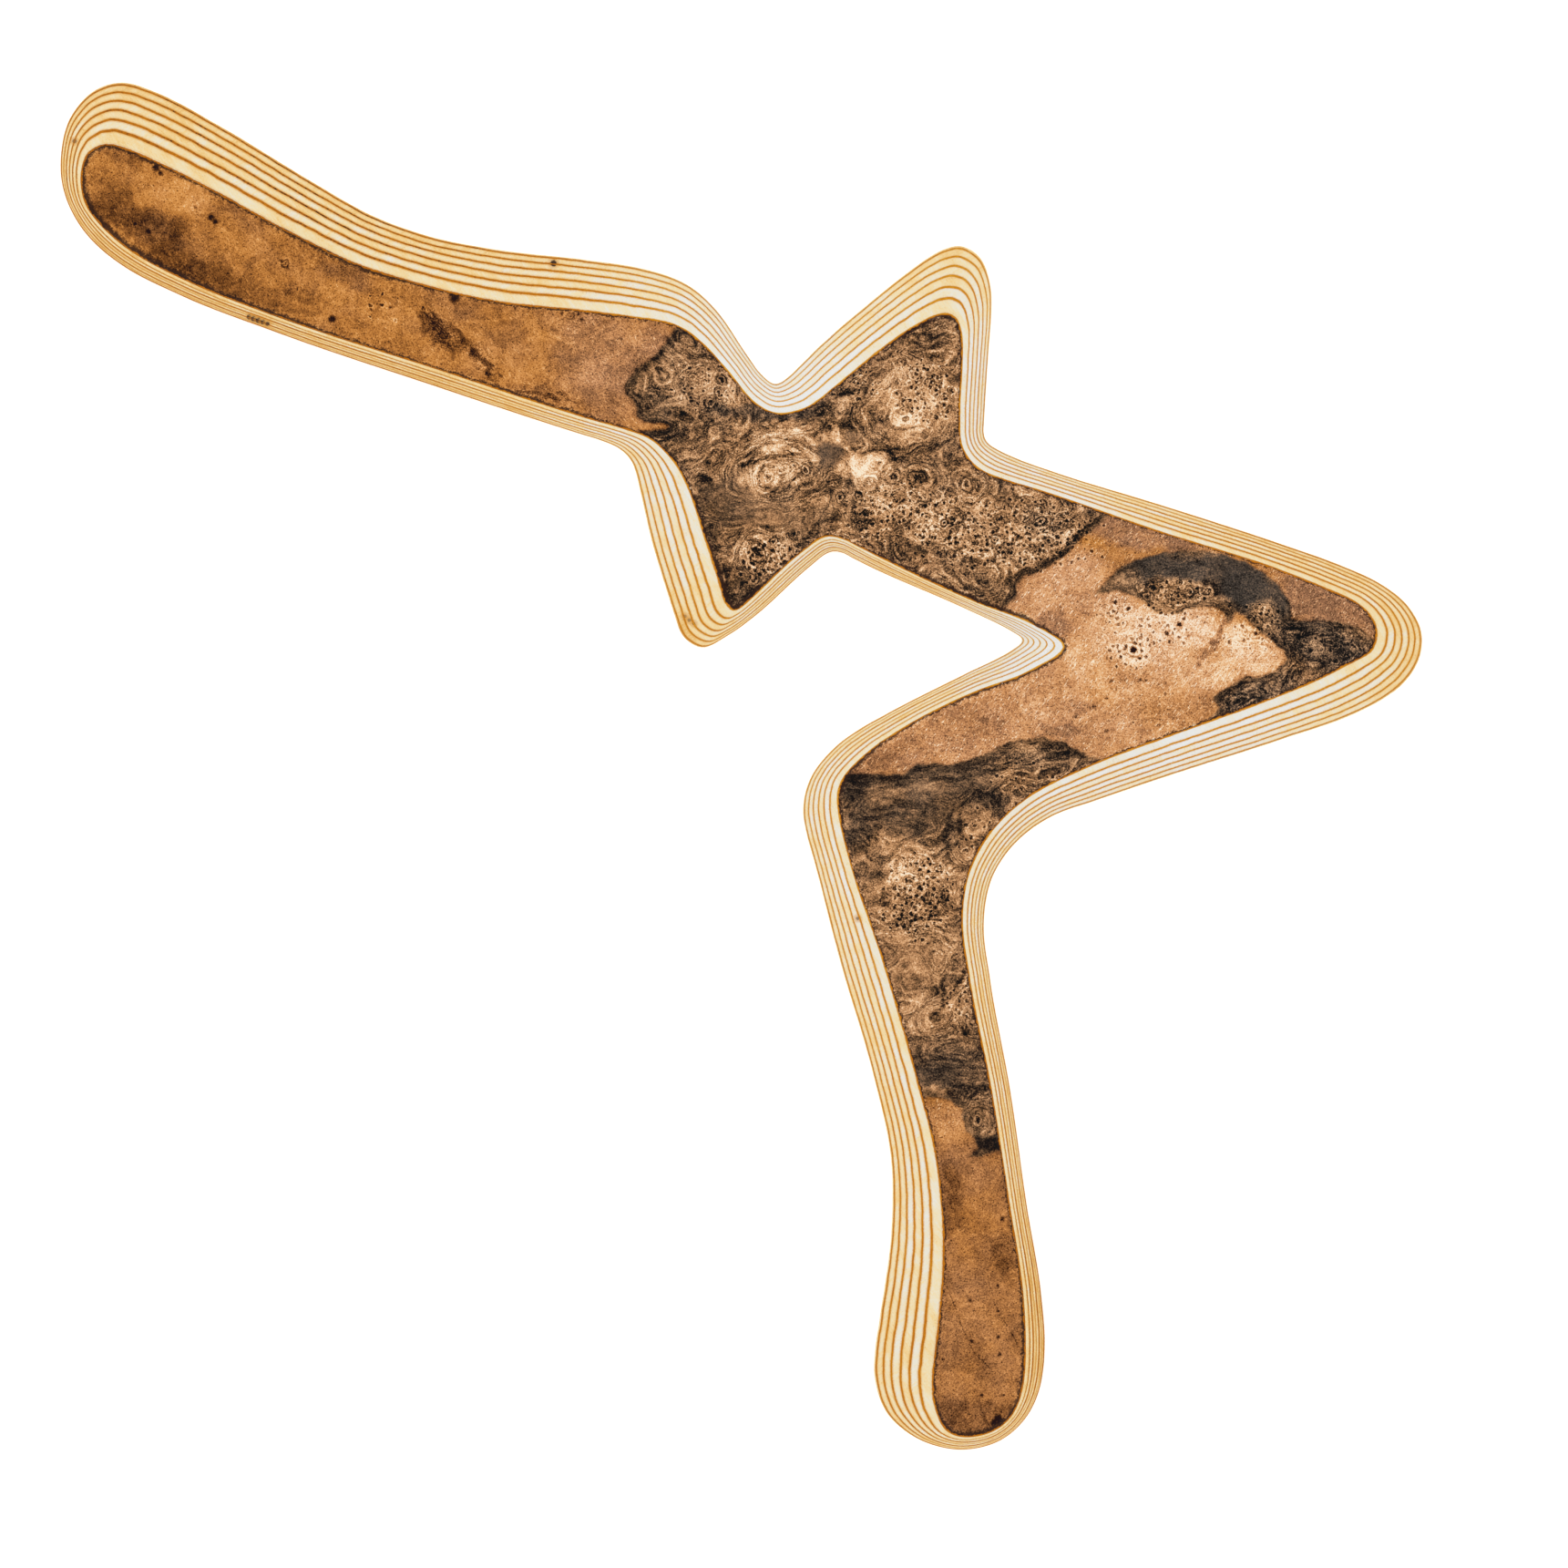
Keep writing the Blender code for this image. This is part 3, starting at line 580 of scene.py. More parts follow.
def finer(rings, step):
    """Rings resampled along smooth closed curves, all at the same parameters."""
    guide = rings[len(rings) // 2]
    chords = np.linalg.norm(np.roll(guide, -1, axis=0) - guide, axis=1)
    knots = np.concatenate(([0.0], np.cumsum(chords)))
    length = knots[-1]
    at = np.linspace(0.0, length, int(length / step), endpoint=False)
    span = np.clip(np.searchsorted(knots, at, side="right") - 1, 0, len(chords) - 1)
    u = ((at - knots[span]) / chords[span])[None, :, None]
    ahead = np.roll(rings, -1, axis=1)
    behind = np.roll(rings, 1, axis=1)
    chord = chords[None, :, None]
    last = np.roll(chords, 1)[None, :, None]
    slopes = ((ahead - rings) / chord * last + (rings - behind) / last * chord) / (chord + last)
    start = rings[:, span]
    end = ahead[:, span]
    m0 = (slopes * chord)[:, span]
    m1 = (np.roll(slopes, -1, axis=1) * chord)[:, span]
    cubic = 2 * (start - end) + m0 + m1
    square = 3 * (end - start) - 2 * m0 - m1
    return ((cubic * u + square) * u + m0) * u + start, at, length


class Bevel:
    """The planed rim of the stack: where its surface is at any height."""

    def __init__(self, heights, rings, step):
        self.heights = heights
        self.rings, self.along, self.length = finer(rings, step)

    def outline(self, height):
        """Outline at one height, or at a height of its own for every point."""
        height = np.broadcast_to(height, self.along.shape)
        height = np.clip(height, self.heights[0], self.heights[-1])
        upper = np.clip(np.searchsorted(self.heights, height), 1, len(self.heights) - 1)
        lower = upper - 1
        share = (height - self.heights[lower]) / (self.heights[upper] - self.heights[lower])
        every = np.arange(len(self.along))
        low = self.rings[lower, every]
        return low + (self.rings[upper, every] - low) * share[:, None]

    def noise(self, size, seed):
        """Noise along the rim that closes on itself."""
        angle = self.along / self.length * 2 * math.pi
        radius = max(3, round(self.length / size)) / (2 * math.pi)
        return slope_noise(radius * np.cos(angle) + 31.7, radius * np.sin(angle) + 11.9, seed)

    def wander(self, height):
        """How far the glue line nearest to this height strays, in millimetres of height."""
        seed = 100 * round((BURL_BASE - height) / GLUE_SPACING)
        return PLY_WANDER * sum(w * self.noise(size, seed + int(size)) for size, w in WANDER_SIZES)


# Meshes


def new_piece(name, points, faces, sharp_rings):
    """Object with a smooth shaded mesh; the edges of its sharp rings stay crisp."""
    mesh = bpy.data.meshes.new(name)
    mesh.from_pydata((np.asarray(points) * MM).tolist(), [], faces)
    piece = bpy.data.objects.new(name, mesh)
    bpy.context.scene.collection.objects.link(piece)
    mesh.polygons.foreach_set("use_smooth", [True] * len(mesh.polygons))
    ring_of = np.full(len(mesh.vertices), -1)
    for number, (first, count) in enumerate(sharp_rings):
        ring_of[first:first + count] = number
    ends = np.empty(len(mesh.edges) * 2, dtype=np.int32)
    mesh.edges.foreach_get("vertices", ends)
    ends = ring_of[ends.reshape(-1, 2)]
    mesh.edges.foreach_set("use_edge_sharp", (ends[:, 0] >= 0) & (ends[:, 0] == ends[:, 1]))
    return piece


def store(piece, fields):
    """Keep these values on the points of the piece, for its material."""
    for name, values in fields.items():
        layer = piece.data.attributes.new(name, "FLOAT", "POINT")
        layer.data.foreach_set("value", np.asarray(values, dtype=np.float32))


def filled(points, rim_count, upward):
    """Triangles that fill the outline made by the first points, all facing one way."""
    edges = [(k, (k + 1) % rim_count) for k in range(rim_count)]
    faces = []
    for face in delaunay_2d_cdt([Vector(place) for place in points], edges, [], 1, 1e-9)[2]:
        a, b, c = (points[k] for k in face)
        turn = (b[0] - a[0]) * (c[1] - a[1]) - (b[1] - a[1]) * (c[0] - a[0])
        faces.append(tuple(face if (turn > 0) == upward else face[::-1]))
    return faces


def loft(levels):
    """Points and faces of a closed sheet from its outlines (height, outline), lowest first."""
    count = len(levels[0][1])
    last = (len(levels) - 1) * count
    points = [np.column_stack((outline, np.full(count, height))) for height, outline in levels]
    faces = []
    for low in range(0, last, count):
        for k in range(count):
            after = (k + 1) % count
            faces.append((low + k, low + count + k, low + count + after, low + after))
    faces += filled(levels[0][1], count, False)
    faces += [tuple(last + k for k in face) for face in filled(levels[-1][1], count, True)]
    return np.concatenate(points), faces


def sheet_levels(bevel, low, high, between):
    """Outlines of one sheet, its faces strayed with the glue lines that they lie on."""
    stray_low = bevel.wander(low) * (low > 0.01)
    stray_high = bevel.wander(high)
    levels = []
    for height in (low, *between, high):
        share = (height - low) / (high - low)
        stray = stray_low + (stray_high - stray_low) * share
        levels.append((height, bevel.outline(height + stray)))
    return levels


def sheet_piece(node, bevel, shares, warmer=0.0):
    """One ply or glue film whose side bends at these shares of its height, and that height."""
    low, high = (corner.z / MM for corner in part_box(node))
    levels = sheet_levels(bevel, low, high, [low + (high - low) * share for share in shares])
    points, faces = loft(levels)
    count = len(bevel.along)
    piece = new_piece(f"look_{node}", points, faces, [(0, count), (len(points) - count, count)])
    rows = points.reshape(len(levels), count, 3)
    run = np.linalg.norm(np.diff(rows, axis=0), axis=2)
    up = np.concatenate((np.zeros((1, count)), np.cumsum(run, axis=0)))
    x, y, _ = points.T
    store(piece, {
        "from_low": up.reshape(-1),
        "from_high": (up[-1] - up).reshape(-1),
        "warmth": np.clip(blended(WARM_PLACES, x, y) + warmer, 0.0, 1.0),
        "browned": blended(BROWN_PLACES, x, y),
    })
    return piece, high - low


def finish_piece(piece, material):
    """Put the piece in the place of the CAD node whose name it has, with its finish."""
    node = piece.name[len("look_"):]
    piece.data.materials.append(material)
    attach(piece, "root")
    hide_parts(node)


# Figure of the burl


def segment_gap(x, y, start, end):
    """Distance to the straight stretch between two points."""
    (ax, ay), (bx, by) = start, end
    run = (bx - ax) ** 2 + (by - ay) ** 2
    share = np.clip(((x - ax) * (bx - ax) + (y - ay) * (by - ay)) / run, 0.0, 1.0)
    return np.hypot(x - ax - share * (bx - ax), y - ay - share * (by - ay))


def line_gap(x, y, points, most):
    """Distance to a line through these points, up to the most given."""
    gaps = [segment_gap(x, y, *ends) for ends in zip(points, points[1:])]
    return np.minimum.reduce([np.full(x.shape, most), *gaps])


def inside_distance(x, y, outline):
    """Distance to the outline, positive inside it."""
    closed = (*outline, outline[0])
    inside = np.zeros(x.shape, dtype=bool)
    for (ax, ay), (bx, by) in zip(closed, closed[1:]):
        if ay != by:
            crosses = (ay > y) != (by > y)
            inside ^= crosses & (x < ax + (y - ay) * (bx - ax) / (by - ay))
    nearest = line_gap(x, y, closed, 1e9)
    return np.where(inside, nearest, -nearest)


def oval_gap(x, y, centre_x, centre_y, half_x, half_y, turn=0):
    """Distance from the middle of a turned oval in its own half sizes."""
    cos = math.cos(math.radians(turn))
    sin = math.sin(math.radians(turn))
    along = ((x - centre_x) * cos + (y - centre_y) * sin) / half_x
    across = ((y - centre_y) * cos - (x - centre_x) * sin) / half_y
    return np.hypot(along, across)


def dabbed(x, y, base, dabs):
    """Tone, hue and contrast after the dabs are laid over the base in turn."""
    fields = [np.full(x.shape, value) for value in base]
    for dab in dabs:
        weight = dab[8] * (1 - smooth_step(0.55, 1.45, oval_gap(x, y, *dab[:5])))
        for field, target in zip(fields, dab[5:8]):
            field += weight * (target - field)
    return fields


def all_eyes():
    """Every ringed eye and how strong its rings are: placed ones and seeded ones."""
    eyes = [(*eye, 1.0) for eye in EYES]
    dice = np.random.default_rng(EYE_SEED)
    for x, y, half_x, half_y, count, small, large in EYE_FIELDS:
        for _ in range(count):
            angle = dice.uniform(0, 2 * math.pi)
            reach = math.sqrt(dice.uniform(0, 1))
            radius = small + (large - small) * dice.uniform(0, 1) ** 2
            eye_x = x + half_x * reach * math.cos(angle)
            eye_y = y + half_y * reach * math.sin(angle)
            eyes.append((eye_x, eye_y, radius, dice.uniform(0.2, 0.9)))
    return eyes


def eye_fields(x, y):
    """Distance to the nearest eye in its own radii, up to 3, and that eye's strength."""
    rough_x, rough_y = strayed(x, y, *EYE_STRAY)
    nearest = np.full(x.shape, 3.0)
    strength = np.zeros(x.shape)
    for number, (eye_x, eye_y, radius, force) in enumerate(all_eyes()):
        near = (np.abs(x - eye_x) < 3.5 * radius) & (np.abs(y - eye_y) < 3.5 * radius)
        turn = 2.4 * number
        across_x = rough_x[near] - eye_x
        across_y = rough_y[near] - eye_y
        along = across_x * math.cos(turn) + across_y * math.sin(turn)
        aside = across_y * math.cos(turn) - across_x * math.sin(turn)
        gap = np.hypot(along / 1.15, aside * 1.15) / radius
        closer = gap < nearest[near]
        picked = np.flatnonzero(near)[closer]
        nearest[picked] = gap[closer]
        strength[picked] = force
    return nearest, strength


def pin_depth(x, y):
    """How deep each point lies in a pin, from 0 outside to 1 in the middle."""
    rough_x, rough_y = strayed(x, y, *PIN_STRAY)
    depth = np.zeros(x.shape)
    for pin_x, pin_y, radius in PINS:
        gap = np.hypot(rough_x - pin_x, rough_y - pin_y) / (0.85 * radius + 0.08)
        depth = np.maximum(depth, 1 - smooth_step(0.35, 1.25, gap))
        lip = smooth_step(1.0, 1.5, gap) * (1 - smooth_step(1.9, 3.2, gap))
        depth = depth - 0.22 * lip * (depth <= 0.0)
    return depth


def pit_density(x, y):
    """How thickly tiny pits lie at each point."""
    density = np.zeros(x.shape)
    for *oval, thick in PIT_FIELDS:
        density = np.maximum(density, thick * (1 - smooth_step(0.5, 1.25, oval_gap(x, y, *oval))))
    return density


def stroke_tone(x, y):
    """Change of tone along the strokes, their edges uneven."""
    rough_x, rough_y = strayed(x, y, *STROKE_STRAY)
    uneven = 1 + 0.9 * layered(x, y, 2.4, 117, 2)
    change = np.zeros(x.shape)
    for half_width, amount, *points in STROKES:
        gap = line_gap(rough_x, rough_y, points, 9.0) / half_width
        change = change + amount * uneven * (1 - smooth_step(0.4, 1.4, gap))
    return change


def heart_distance(x, y):
    """Distance into the heartwood, its border roughened."""
    rough_x, rough_y = strayed(x, y, *HEART_STRAY)
    parts = (HEART_STAR, HEART_ELBOW, HEART_ARM)
    return np.maximum.reduce([inside_distance(rough_x, rough_y, part) for part in parts])


def flow(x, y, depth, eye, ringed):
    """Height map whose contour lines are the lines of the figure."""
    warp_x = layered(x, y, 14.0, 23, 2)
    warp_y = layered(x, y, 14.0, 29, 2)
    lines = 9.0 * layered(x + 5.0 * warp_x, y + 5.0 * warp_y, 22.0, 31, 3)
    beside = np.exp(-(depth / 4.5) ** 2)
    lines = lines * (1 - beside) + beside * np.abs(depth) * 1.1
    bent_x = x + 1.6 * warp_x + 1.1 * layered(x, y, 4.5, 37, 3)
    bent_y = y + 1.6 * warp_y + 1.1 * layered(x, y, 4.5, 39, 3)
    for *oval, rate, strength in DRIFTS:
        turn = math.radians(oval[4])
        aside = (bent_y - oval[1]) * math.cos(turn)
        aside -= (bent_x - oval[0]) * math.sin(turn)
        weight = strength * (1 - smooth_step(0.5, 1.3, oval_gap(bent_x, bent_y, *oval)))
        lines = lines * (1 - weight) + weight * aside * rate
    for *oval, rings, strength in SWIRLS:
        gap = oval_gap(bent_x, bent_y, *oval)
        weight = strength * (1 - smooth_step(0.45, 1.05, gap))
        lines = lines * (1 - weight) + weight * gap * rings
    round_eye = (0.4 + 0.6 * ringed) * (1 - smooth_step(1.3, 3.0, eye))
    return lines * (1 - round_eye) + round_eye * 1.5 * eye


def burl_tone(x, y, soft, tone, heart, edge):
    """The dabs' tone with black borders, strokes, clouds, patches and the sapwood's wisps."""
    black = pulled(BLACK_BORDERS, x, y, PLAIN_BORDER) * (1 + 0.5 * layered(x, y, 6.0, 91, 2))
    tone = tone * (1 - black * edge)
    tone = tone + stroke_tone(x, y)
    tone = tone + 0.055 * layered(x, y, 9.0, 53, 4) + 0.050 * layered(x, y, 2.6, 67, 3)
    tone = tone + 0.045 * (smooth_step(-0.03, 0.05, layered(*soft, 11.0, 109, 3)) - 0.5)
    wisps = np.exp(-(layered(*soft, 12.0, 103, 4) / 0.05) ** 2)
    wisps *= smooth_step(-0.1, 0.5, layered(x, y, 17.0, 107, 2)) * (1 - heart)
    return tone - 0.10 * wisps * smooth_step(30.0, -20.0, x)


def burl_fields(x, y, away):
    """Everything that the burl's material needs at points this far from the rim."""
    depth = heart_distance(x, y)
    heart = smooth_step(-0.30, 0.30, depth)
    edge = np.exp(-((depth - 0.7) / 1.0) ** 2)
    soft_x = x + 3.0 * layered(x, y, 8.0, 43, 5) + 0.9 * layered(x, y, 1.9, 57, 2)
    soft_y = y + 3.0 * layered(x, y, 8.0, 47, 5) + 0.9 * layered(x, y, 1.9, 59, 2)
    soft = (soft_x, soft_y)
    sap = dabbed(*soft, SAP_BASE, SAP_DABS)
    dark = dabbed(*soft, HEART_BASE, HEART_DABS)
    tone, hue, contrast = (s + heart * (d - s) for s, d in zip(sap, dark))
    eye, ringed = eye_fields(x, y)
    return {
        "tone": burl_tone(x, y, soft, tone, heart, edge),
        "hue": np.clip(hue + 0.30 * layered(x, y, 8.0, 101, 3), 0.0, 1.0),
        "contrast": contrast * (1 - 0.4 * edge),
        "heart": heart,
        "lines": flow(x, y, depth, eye, ringed),
        "eye": eye,
        "ringed": ringed,
        "pin": pin_depth(x, y),
        "pits": pit_density(x, y),
        "crack": np.minimum.reduce([line_gap(x, y, crack, 1.5) for crack in CRACKS]),
        "rim": away,
        "scorch": pulled(SCORCHED, x, y, PLAIN_SCORCH) * (1 + 0.35 * layered(x, y, 5.0, 61, 3)),
    }


def burl_rim(heights, rings):
    """Rim of the burl with its small nicks, as an array of x, y."""
    bevel = Bevel(heights, rings, BURL_RIM_STEP)
    rim = bevel.outline(BURL_BASE)
    run = np.roll(rim, -1, axis=0) - np.roll(rim, 1, axis=0)
    run = run / np.linalg.norm(run, axis=1)[:, None]
    inward = np.column_stack((run[:, 1], -run[:, 0]))
    nicks = 0.5 * bevel.noise(0.9, 5) + 0.5 * bevel.noise(2.6, 6)
    return rim + inward * (BURL_RAGGED * (nicks + 0.35))[:, None]


def inside_rim(x, y, rim):
    """Which points lie inside the closed outline."""
    inside = np.zeros(x.shape, dtype=bool)
    order = np.argsort(y)
    sorted_y = y[order]
    for (ax, ay), (bx, by) in zip(rim, np.roll(rim, -1, axis=0)):
        if ay == by:
            continue
        first = np.searchsorted(sorted_y, min(ay, by), side="left")
        last = np.searchsorted(sorted_y, max(ay, by), side="left")
        span = order[first:last]
        inside[span] ^= x[span] < ax + (y[span] - ay) * (bx - ax) / (by - ay)
    return inside


def rim_gap(x, y, rim):
    """Distance of every point to the rim."""
    tree = KDTree(len(rim))
    for number, (rim_x, rim_y) in enumerate(rim):
        tree.insert((rim_x, rim_y, 0.0), number)
    tree.balance()
    return np.array([tree.find((*place, 0.0))[2] for place in zip(x.tolist(), y.tolist())])


def grid_points(rim):
    """Loose grid of points inside the rim, and every point's distance to it."""
    dice = np.random.default_rng(GRID_SEED)
    low = rim.min(axis=0)
    high = rim.max(axis=0)
    columns = np.arange(low[0], high[0], BURL_GRID)
    rows = np.arange(low[1], high[1], BURL_GRID * 0.87)
    x, y = np.meshgrid(columns, rows)
    x = x + (np.arange(len(rows)) % 2)[:, None] * BURL_GRID / 2
    x = (x + dice.uniform(-0.12, 0.12, x.shape) * BURL_GRID).reshape(-1)
    y = (y + dice.uniform(-0.12, 0.12, y.shape) * BURL_GRID).reshape(-1)
    inside = inside_rim(x, y, rim)
    x = x[inside]
    y = y[inside]
    away = rim_gap(x, y, rim)
    keep = away > GRID_CLEAR
    return x[keep], y[keep], away[keep]


def burl_piece(heights, rings):
    """The veneer: a dense face that falls away at its planed edge, and a flat glue side."""
    rim = burl_rim(heights, rings)
    grid_x, grid_y, away = grid_points(rim)
    count = len(rim)
    x = np.concatenate((rim[:, 0], grid_x))
    y = np.concatenate((rim[:, 1], grid_y))
    away = np.concatenate((np.zeros(count), away))
    faces = filled(np.column_stack((x, y)), count, True) + filled(rim, count, False)
    points = np.column_stack((x, y, BURL_BASE + np.interp(away, *zip(*BURL_EDGE))))
    piece = new_piece("look_burl_veneer", points, faces, [(0, count)])
    store(piece, burl_fields(x, y, away))
    return piece


# Materials


def paint(*screen):
    """Surface colour that looks like this screen colour under the studio light."""
    made = []
    for part in screen:
        share = part / 255
        linear = share / 12.92 if share <= 0.04045 else ((share + 0.055) / 1.055) ** 2.4
        made.append(min(0.98, max(0.0015, (linear - LACQUER_VEIL) / STUDIO_GAIN)))
    return (*made, 1.0)


def set_stops(ramp, stops):
    """Give a colour ramp these stops (position, colour)."""
    while len(ramp.elements) < len(stops):
        ramp.elements.new(0.5)
    for element, (at, colour) in zip(ramp.elements, stops):
        element.position = at
        element.color = colour


class Wood:
    """A node material under construction, with short calls for the nodes it uses."""

    def __init__(self, name):
        self.material = bpy.data.materials.new(name)
        self.material.use_nodes = True
        self.tree = self.material.node_tree
        self.shader = self.tree.nodes["Principled BSDF"]
        place = self.node("TexCoord").outputs["Object"]
        scaled = self.node("VectorMath", {0: place, "Scale": 1 / MM}, operation="SCALE")
        self.place = scaled.outputs[0]

    def feed(self, sockets, values):
        """Link or set these sockets, picked by name or number."""
        for key, value in values.items():
            if isinstance(value, bpy.types.NodeSocket):
                self.tree.links.new(value, sockets[key])
            else:
                sockets[key].default_value = value

    def node(self, kind, values=(), **settings):
        made = self.tree.nodes.new("ShaderNode" + kind)
        for name, value in settings.items():
            setattr(made, name, value)
        self.feed(made.inputs, dict(values))
        return made

    def math(self, operation, *values, clamp=False):
        return self.node("Math", enumerate(values), operation=operation, use_clamp=clamp).outputs[0]

    def vary(self, base, noise, amount, middle=0.5):
        """The base, moved up and down by this amount of noise around its middle."""
        return self.math("MULTIPLY_ADD", self.math("SUBTRACT", noise, middle), amount, base)

    def times(self, first, second):
        return self.math("MULTIPLY", first, second)

    def stored(self, name):
        return self.node("Attribute", attribute_name=name).outputs["Fac"]

    def part(self, number):
        """The place along x, y or z in millimetres."""
        return self.node("SeparateXYZ", {0: self.place}).outputs[number]

    def stretched(self, sizes, turn=0.0, shift=(0, 0, 0)):
        """Place in a frame turned by this angle, one unit per size in millimetres."""
        values = {"Vector": self.place, "Location": shift, "Scale": sizes}
        values["Rotation"] = (0, 0, math.radians(turn))
        return self.node("Mapping", values, vector_type="TEXTURE").outputs[0]

    def noise(self, vector, scale, detail, roughness, distortion=0.0):
        values = {"Vector": vector, "Scale": scale, "Detail": detail}
        values |= {"Roughness": roughness, "Distortion": distortion}
        return self.node("TexNoise", values).outputs[0]

    def grain(self, sizes, turn, shift, detail, roughness, distortion=0.0):
        """Noise whose features have these sizes in millimetres, in a turned frame."""
        return self.noise(self.stretched(sizes, turn, shift), 1.0, detail, roughness, distortion)

    def specks(self, size, detail, roughness, shift=(0, 0, 0)):
        """Noise of the same size in every direction."""
        return self.grain((size, size, size), 0.0, shift, detail, roughness)

    def remap(self, value, low, high, to_low=0.0, to_high=1.0):
        values = enumerate((value, low, high, to_low, to_high))
        return self.node("MapRange", values, interpolation_type="SMOOTHSTEP").outputs[0]

    def ramp(self, value, stops):
        """Screen colour or grey number that follows these stops, their position first."""
        made = self.node("ValToRGB", {0: value})
        pairs = [(at, paint(*c) if len(c) == 3 else (*c, *c, *c, 1.0)) for at, *c in stops]
        set_stops(made.color_ramp, pairs)
        return made.outputs[0]

    def mix(self, share, first, second):
        return self.node("Mix", {"Factor": share, 6: first, 7: second}, data_type="RGBA").outputs[2]

    def finish(self, colour, roughness, gloss, height, depth):
        """The material, with this gloss and a relief this many metres deep."""
        relief = self.node("Bump", {"Strength": 1.0, "Distance": depth, "Height": height})
        values = {"Base Color": colour, "Roughness": roughness, "Specular IOR Level": gloss}
        self.feed(self.shader.inputs, values | {"Normal": relief.outputs[0]})
        return self.material


def birch_stains(wood, number, colour, ragged):
    """Browning beside the glue lines of a ply, and on the last ply a brown band of painted shade, with
    some real soiling, along the bottom of its side next to the floor.
    """
    browned = wood.stored("browned")
    low = wood.stored("from_low")
    high = wood.stored("from_high")
    across = wood.math("ADD", low, high)
    if number == 1:              # the burl's glue film leaves no stain on the ply
        high = wood.math("ADD", high, BURL_CLEARANCE)
    if number == PLY_COUNT:      # only the ply's side gets the browning and the painted shade, not its flat underside
        low = wood.math("ADD", low, wood.remap(wood.part(2), *UNDERSIDE, 1.0, 0.0))
    steep = wood.remap(across, 0.65, 1.30, 1.0, 0.0)
    reach = wood.remap(browned, 0.0, 1.0, 0.20, 0.55)
    reach = wood.math("MINIMUM", reach, wood.times(across, 0.30))
    nearest = wood.math("ADD", wood.math("MINIMUM", low, high), ragged)
    halo = wood.math("SUBTRACT", 1.0, wood.math("DIVIDE", nearest, reach), clamp=True)
    halo = wood.times(halo, wood.remap(browned, 0.0, 0.8, 0.40, 0.90))
    colour = wood.mix(halo, colour, paint(224, 160, 54))
    thick = wood.math("MULTIPLY_ADD", steep, 0.10, wood.remap(browned, 0.0, 1.0, 0.035, 0.07))
    depth = wood.remap(browned, 0.0, 0.9, 0.35, 0.90)
    depth = wood.math("MAXIMUM", depth, wood.times(steep, 0.75))
    for edge, film in ((low, number), (high, number - 1)):
        core = wood.math("MULTIPLY_ADD", ragged, 0.20, edge)
        core = wood.math("SUBTRACT", 1.5, wood.math("DIVIDE", core, thick), clamp=True)
        core = wood.times(core, depth)
        if film % 2:
            core = wood.times(core, wood.remap(steep, 0.0, 1.0, 1.0, 0.12))
        colour = wood.mix(core, colour, paint(188, 114, 8))
    # Painted shade with some real soiling: ply 8's side is darkened brown along its bottom 0.3 mm, next
    # to the floor.
    bottom_shade_and_soil = 0.75 if number == PLY_COUNT else 0.0
    bottom_shade_and_soil_mask = wood.remap(wood.math("MULTIPLY_ADD", ragged, 0.6, low), 0.0, 0.30, bottom_shade_and_soil, 0.0)
    return wood.mix(bottom_shade_and_soil_mask, colour, paint(138, 86, 18))


def birch_marks(wood, colour, ragged):
    """Small knots and burns with a golden glow round them."""
    values = {0: wood.place, 1: (1.0, 1.0, 0.0)}
    level = wood.node("VectorMath", values, operation="MULTIPLY").outputs[0]
    for x, y, radius, dark in BIRCH_MARKS:
        gap = wood.node("VectorMath", {0: level, 1: (x, y, 0.0)}, operation="DISTANCE")
        gap = wood.math("ADD", ragged, gap.outputs["Value"])
        glow = wood.remap(gap, radius, radius + 0.9, 0.50, 0.0)
        colour = wood.mix(glow, colour, paint(210, 140, 44))
        burnt = wood.remap(gap, 0.6 * radius, radius, dark, 0.0)
        colour = wood.mix(burnt, colour, paint(44, 27, 10))
    return colour


def birch_material(number):
    """Rotary-cut birch sanded through at a low angle, its grain crossed from ply to ply."""
    wood = Wood(f"birch_{number}")
    turn = 35.0 + (90.0 if number % 2 else 0.0)
    shift = (number * 13.7, number * 5.3, number * 2.1)
    fibres = wood.grain((4.0, 0.42, 0.6), turn, shift, 3.0, 0.65)
    clouds = wood.grain((9.0, 4.0, 4.0), turn, shift, 2.0, 0.5, 0.4)
    specks = wood.grain((0.50, 0.38, 0.4), turn, shift, 2.0, 0.7)
    place = wood.stretched((1.5, 0.42, 0.8), turn, shift)
    pores = wood.node("TexVoronoi", {"Vector": place, "Scale": 1.0}).outputs["Distance"]
    warmth = wood.vary(wood.stored("warmth"), clouds, 0.60, 0.55)
    warmth = wood.vary(wood.vary(warmth, fibres, 0.45), specks, 0.45)
    ragged = wood.times(wood.math("SUBTRACT", specks, 0.5), 0.75)
    colour = birch_stains(wood, number, wood.ramp(warmth, BIRCH), ragged)
    holes = wood.remap(pores, 0.05, 0.18, 1.0, 0.0)
    holes = wood.times(holes, wood.remap(clouds, 0.45, 0.65, 0.05, 0.60))
    colour = wood.mix(holes, colour, paint(178, 106, 40))
    colour = birch_marks(wood, colour, ragged)
    height = wood.math("SUBTRACT", fibres, wood.times(holes, 0.8))
    return wood.finish(colour, wood.remap(fibres, 0.3, 0.7, 0.40, 0.54), 0.16, height, 0.00004)


